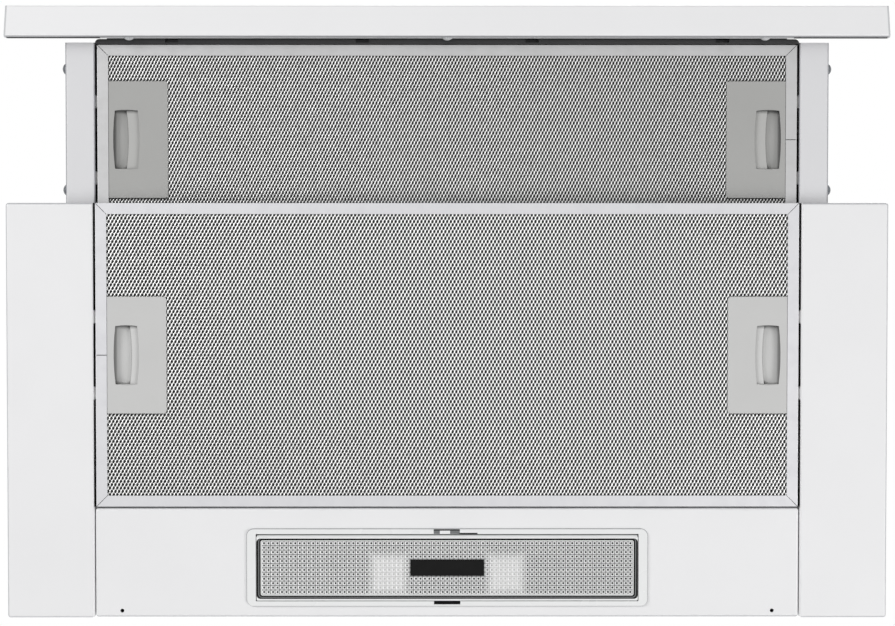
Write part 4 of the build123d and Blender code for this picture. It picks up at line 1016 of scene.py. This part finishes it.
        # Between the prisms and the rim the moulded steps are painted black, grey and black as shade.
        belt_slots = np.full((count - 1, around), rim)
        belt_slots[1:4] = np.array([dark_step, shade, dark_step])[:, None]
        pin_slots = np.full(len(pin_skins) + len(pin_ends), rim)
        slots = np.concatenate([belt_slots.ravel(), [rim], np.full(len(prisms), prism), pin_slots])
        lens.data.polygons.foreach_set("material_index", slots.astype(np.int32))
        settle(lens, "lamp_cover", "clear_plastic", "lamp_cover")

    def build_shade_ring(self) -> None:
        """Build the grey ring of painted shade round the bezel: a rectangular section round a rounded
        rectangle.
        """
        low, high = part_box("lamp_bezel")
        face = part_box("lamp_panel")[0].z
        show, thick, corner = self.shade_ring
        section = [(-self.tuck, -thick), (show, -thick), (show, 0.0), (-self.tuck, 0.0)]
        loops = np.stack(
            [rounded(high.x + o, low.y - o, high.y + o, corner + o, face + z) for o, z in section]
        )
        shade_ring = make_object("lamp_bezel_shade_ring", loops.reshape(-1, 3), loft(4, loops.shape[1], wrap=True))
        paint(shade_ring, GREY_SHADE.material())
        settle(shade_ring, "casing", "black_plastic")

    def build_catch(self) -> None:
        """Build the catch in the bezel's front strip and a dark pad of painted shade in its pry notch, from
        thin plates; the catch's slot and its front edge's line are painted shade too.
        """
        low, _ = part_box("lamp_bezel")
        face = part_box("lamp_panel")[0].z
        for name, finish, (x0, x1, y0, y1), (z0, z1) in (
            ("lamp_catch_slot", SHADE, self.catch_slot, (low.z - self.skin, low.z)),
            ("lamp_catch_edge", CARD_AND_SHADE, self.catch_edge, (low.z - 2 * self.skin, low.z)),
            ("lamp_catch_hook", CARD_AND_SHADE, self.catch_hook, (low.z - self.skin, low.z)),
            ("lamp_catch_tab", WHITE, self.catch_tab, (low.z - 3 * self.skin, low.z)),
            ("lamp_pry_notch_shade", BLACK_SHADE, self.notch_shade, (face - 5 * self.skin, face - self.skin)),
        ):
            near, far = np.array([[[x0, low.y + y0, z0]], [[x1, low.y + y1, z1]]])
            plate = make_object(name, *blocks(near, far))
            paint(plate, finish.material())
            settle(plate, "casing", "white_plastic" if finish is WHITE else "black_plastic")

    def build(self) -> None:
        """Build the lens, the ring of painted shade round the bezel and the catch."""
        self.build_lens()
        self.build_shade_ring()
        self.build_catch()

    def dress(self) -> None:
        """Give the lamp's CAD nodes their finishes."""
        dress_nodes(WHITE, "lamp_bezel", "lamp_housing", "lamp_holders")
        dress_nodes(BULB, "lamp_bulbs")
        dress_nodes(CARD_AND_SHADE, "lamp_label")


class Mark(Enum):
    """What a push button is for, with its number of bars or rays; the off and light marks have a ring."""

    OFF = ("off_button", 0)
    LOW = ("low_button", 1)
    MEDIUM = ("medium_button", 2)
    HIGH = ("high_button", 3)
    LIGHT = ("light_button", 4)


@dataclass
class Drawer(Assembly):
    """Pull-out drawer: fascia, black front rail, channels, slides and the switches behind the fascia.

    Attributes:
        ink: Thickness of the printed marks.
        bar: Width and length of a speed bar.
        spacing: Distance between speed bars.
        ring: Inner and outer radius of a ring.
        ray: Distance of a ray from the middle of the light's ring, its length and its width.
        strip: Thickness of the dark strips of painted shade on the fascia's rear lip, and the heights above
            its
        lower edge where they start and end.
        strip_ends: How far the strips go under the rail, and their distance from the fascia's ends.
    """

    ink: float = 0.05 * MM
    bar: Pair = (0.9 * MM, 4.2 * MM)
    spacing: float = 2.1 * MM
    ring: Pair = (1.25 * MM, 1.85 * MM)
    ray: Triple = (2.3 * MM, 1.3 * MM, 0.6 * MM)
    strip: Triple = (0.4 * MM, 1.9 * MM, 4.9 * MM)
    strip_ends: Pair = (5.0 * MM, 0.4 * MM)

    def build_mark(self, mark: Mark) -> None:
        """Print the mark of one push button: speed bars, a ring, or a ring with four rays for the light.

        The ring is a rectangular section carried round a circle.

        Args:
            mark: The button's mark.
        """
        button, bars = mark.value
        low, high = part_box(button)
        middle = np.array([(low.x + high.x) / 2, (low.y + high.y) / 2, high.z])
        points, faces = np.empty((0, 3)), np.empty((0, 4), int)
        if mark in (Mark.OFF, Mark.LIGHT):
            turn = np.linspace(0, 2 * np.pi, RING_POINTS, endpoint=False)
            circle = np.stack([np.cos(turn), np.sin(turn), np.zeros(RING_POINTS)], -1)
            inner, outer = self.ring
            section = ((inner, 0.0), (outer, 0.0), (outer, self.ink), (inner, self.ink))
            points = np.concatenate([middle + r * circle + np.array([0, 0, z]) for r, z in section])
            faces = loft(4, RING_POINTS, wrap=True)
        if bars:
            if mark is Mark.LIGHT:
                reach, length, width = self.ray
                way = np.array([[1, 0], [0, 1], [-1, 0], [0, -1]])
                centre = way * (reach + length / 2)
                half = np.abs(way) * length / 2 + (1 - np.abs(way)) * width / 2
            else:
                steps = (np.arange(bars) - (bars - 1) / 2) * self.spacing
                centre = np.stack([steps, np.zeros(bars)], -1)
                half = np.broadcast_to(np.array(self.bar) / 2, (bars, 2))
            bottom = np.concatenate([centre - half, np.zeros((bars, 1))], -1)
            top = np.concatenate([centre + half, np.full((bars, 1), self.ink)], -1)
            bar_points, bar_faces = blocks(middle + bottom, middle + top)
            faces = np.concatenate([faces, bar_faces + len(points)])
            points = np.concatenate([points, bar_points])
        symbol = make_object(f"{button}_mark", points, faces)
        paint(symbol, INK.material())
        settle(symbol, button, "white_plastic")

    def build_shade_strips(self) -> None:
        """Build the dark strips of painted shade on the fascia's rear lip, one on each side of the rail."""
        low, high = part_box("fascia")
        thick, start, end = self.strip
        under, margin = self.strip_ends
        inner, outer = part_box("drawer_right_channel")[0].x - under, high.x - margin
        near = np.array([[inner, high.y, low.z + start], [-outer, high.y, low.z + start]])
        far = np.array([[outer, high.y + thick, low.z + end], [-inner, high.y + thick, low.z + end]])
        strips = make_object("fascia_shade_strips", *blocks(near, far))
        paint(strips, DARK_GREY_SHADE.material())
        settle(strips, "drawer", "black_plastic")

    def build(self) -> None:
        """Print the marks of the push buttons and build the fascia's strips."""
        for mark in Mark:
            self.build_mark(mark)
        self.build_shade_strips()

    def dress(self) -> None:
        """Give the drawer's CAD nodes their finishes."""
        dress_nodes(ENAMEL_FASCIA, "fascia")
        dress_nodes(CAP, "fascia_end_caps", "fascia_screws")
        dress_nodes(ENAMEL, "drawer_rear_bar", "drawer_cover")
        dress_nodes(ENAMEL_SHADED, "drawer_left_channel", "drawer_right_channel")
        dress_nodes(RAIL, "front_rail")
        dress_nodes(BLACK, "switch_box", *(mark.value[0] for mark in Mark))
        dress_nodes(SCREW, "channel_screws")
        dress_nodes(ZINC, "moving_rails", "middle_rails")


class Casing(Assembly):
    """White sheet-steel body with its hangers, rails, terminal box and screws."""

    def dress(self) -> None:
        """Give the casing's CAD nodes their finishes."""
        dress_nodes(ENAMEL, "casing_top", "casing_front", "casing_rear", "casing_sides")
        dress_nodes(ENAMEL_LEFT, "base_left_panel")
        dress_nodes(ENAMEL_RIGHT, "base_right_panel")
        dress_nodes(ENAMEL_REAR, "lamp_panel")
        dress_nodes(ZINC, "casing_screws", "slide_hangers", "fixed_rails")
        dress_nodes(WHITE, "terminal_box")
        dress_nodes(BLACK, "cable_gland")


class Blower(Assembly):
    """Scroll, impeller, motor and the duct collar with its damper."""

    def dress(self) -> None:
        """Give the blower's CAD nodes their finishes."""
        dress_nodes(BLOWER, "scroll_left_half", "scroll_right_half", "impeller")
        dress_nodes(MOTOR, "motor")
        dress_nodes(ZINC, "motor_bracket", "motor_shaft")
        dress_nodes(COLLAR, "duct_collar", "front_flap", "rear_flap")


@dataclass
class SoftBox:
    """A square area lamp aimed at one point.

    Attributes:
        name: Name of the lamp.
        place: Where it stands.
        size: Length of its sides.
        power: Its power in watts.
        aim: The point that it faces, in the middle of the hood.
    """

    name: str
    place: Triple
    size: float
    power: float
    aim: Triple = (0.0, 0.0, -0.1)

    def build(self) -> None:
        """Add the lamp to the scene."""
        data = bpy.data.lights.new(self.name, "AREA")
        data.size = self.size
        data.energy = self.power
        lamp = bpy.data.objects.new(self.name, data)
        lamp.location = self.place
        lamp.rotation_euler = (Vector(self.aim) - Vector(self.place)).to_track_quat("-Z", "Y").to_euler()
        bpy.context.scene.collection.objects.link(lamp)


@dataclass
class Studio:
    """White studio: pale floor far below, soft boxes below and above, camera looking straight up.

    Attributes:
        floor_height: Height of the floor.
        floor_half: Half the floor's side.
        floor_colour: Its colour, sRGB hex.
        floor_lift: How far the floor that the camera sees goes from its lit colour to plain white.
        ambient: Strength of the white surroundings on matt surfaces.
        eye: Place of the camera.
        tilt: Small turns of the camera about the picture's two axes, in radians.
        focal_px: Focal length in pixels of the picture.
        picture_px: Width of the picture in pixels.
        sensor_mm: Width of the camera's sensor.
        far: How far the camera sees.
        lamps: The soft boxes.
    """

    floor_height: float = -3.5
    floor_half: float = 40.0
    floor_colour: str = "#F2F2F2"
    floor_lift: float = 0.65
    ambient: float = 0.5
    eye: Triple = (-0.00276, -0.10312, -1.477)
    tilt: Pair = (0.02802, -0.00228)
    focal_px: float = 1911.7
    picture_px: int = 895
    sensor_mm: float = 36.0
    far: float = 100.0
    lamps: list[SoftBox] = field(
        default_factory=lambda: [
            SoftBox("left_from_below", (-1.9, -1.0, -1.7), 1.2, 27.0),
            SoftBox("right_from_below", (1.9, 0.9, -1.7), 1.2, 25.0),
            SoftBox("top", (0.5, -1.0, 2.4), 1.6, 24.0),
            SoftBox("back", (-0.8, 2.3, 0.8), 1.4, 14.0),
        ]
    )

    def whiten(self, tree: Tree, lit: Node, white: Node, camera: float) -> Node:
        """Mix lit and plain white shaders: reflected and refracted rays meet white, others the lit one.

        Args:
            tree: The node tree.
            lit: The lit shader.
            white: The plain white one.
            camera: The share of white for rays from the camera.

        Returns:
            The mixed shader.
        """
        path = add_node(tree, "LightPath").outputs
        bounces = [path["Is Glossy Ray"], path["Is Transmission Ray"]]
        bounced = add_node(tree, "Math", bounces, operation="MAXIMUM")
        direct = add_node(tree, "Math", [path["Is Camera Ray"], camera], operation="MULTIPLY")
        share = add_node(tree, "Math", [direct, bounced], operation="MAXIMUM")
        return add_node(tree, "MixShader", [share, lit, white])

    def build_world(self) -> None:
        """Make surroundings that are white to the eye and dimmer as a light."""
        world = bpy.data.worlds.new("studio_white")
        world.use_nodes = True
        tree = world.node_tree
        tree.nodes.clear()
        light = add_node(tree, "Background", {"Color": PLAIN_WHITE, "Strength": self.ambient})
        white = add_node(tree, "Background", {"Color": PLAIN_WHITE, "Strength": 1.0})
        add_node(tree, "OutputWorld", {"Surface": self.whiten(tree, light, white, 1.0)})
        bpy.context.scene.world = world

    def build_floor(self) -> None:
        """Lay a pale floor that metal and glass see as white and the camera as nearly white."""
        sides = np.array([[-1, -1], [1, -1], [1, 1], [-1, 1]]) * self.floor_half
        points = np.concatenate([sides, np.full((4, 1), self.floor_height)], -1)
        floor = make_object("studio_floor", points, np.array([[0, 1, 2, 3]]))
        made, tree = new_tree("pale_studio_floor")
        matt = add_node(tree, "BsdfDiffuse", {"Color": linear(self.floor_colour)})
        white = add_node(tree, "Emission", {"Color": PLAIN_WHITE, "Strength": 1.0})
        add_node(tree, "OutputMaterial", {"Surface": self.whiten(tree, matt, white, self.floor_lift)})
        paint(floor, made)

    def build_camera(self) -> None:
        """Place the camera below the hood: the picture's right is +X and its top is the fascia."""
        data = bpy.data.cameras.new("camera")
        data.sensor_width = self.sensor_mm
        data.lens = self.focal_px * self.sensor_mm / self.picture_px
        data.clip_end = self.far
        about_x, about_y = self.tilt
        turn = Matrix.Rotation(about_y, 3, "Y") @ Matrix.Rotation(about_x, 3, "X")
        right, down, ahead = (Vector(row) for row in turn)
        pose = Matrix((right, -down, -ahead)).transposed().to_4x4()
        pose.translation = self.eye
        camera = bpy.data.objects.new("camera", data)
        bpy.context.scene.collection.objects.link(camera)
        camera.matrix_world = pose
        bpy.context.scene.camera = camera

    def build(self) -> None:
        """Build the whole studio."""
        bpy.context.scene.view_settings.view_transform = "Standard"
        self.build_world()
        self.build_floor()
        for lamp in self.lamps:
            lamp.build()
        self.build_camera()


def main() -> None:
    """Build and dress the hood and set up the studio."""
    logging.basicConfig(level=logging.INFO, format="%(name)s: %(message)s")
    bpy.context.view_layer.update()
    Studio().build()
    assemblies = [
        Casing(),
        Drawer(),
        # The bonds carry a painted highlight and the strands painted shade; the drawer's sheet is a darker
        # copy, as painted shade.
        GreaseFilter(Owner.FIXED, 2.5 * MM, 0.06, "#FAFAF9", "#A9A9A8"),
        GreaseFilter(Owner.DRAWER, 2.25 * MM, 0.14, "#EEEEED", "#90908F"),
        LampUnit(),
        Blower(),
    ]
    for assembly in assemblies:
        assembly.build()
        assembly.dress()


if __name__ == "__main__":
    main()
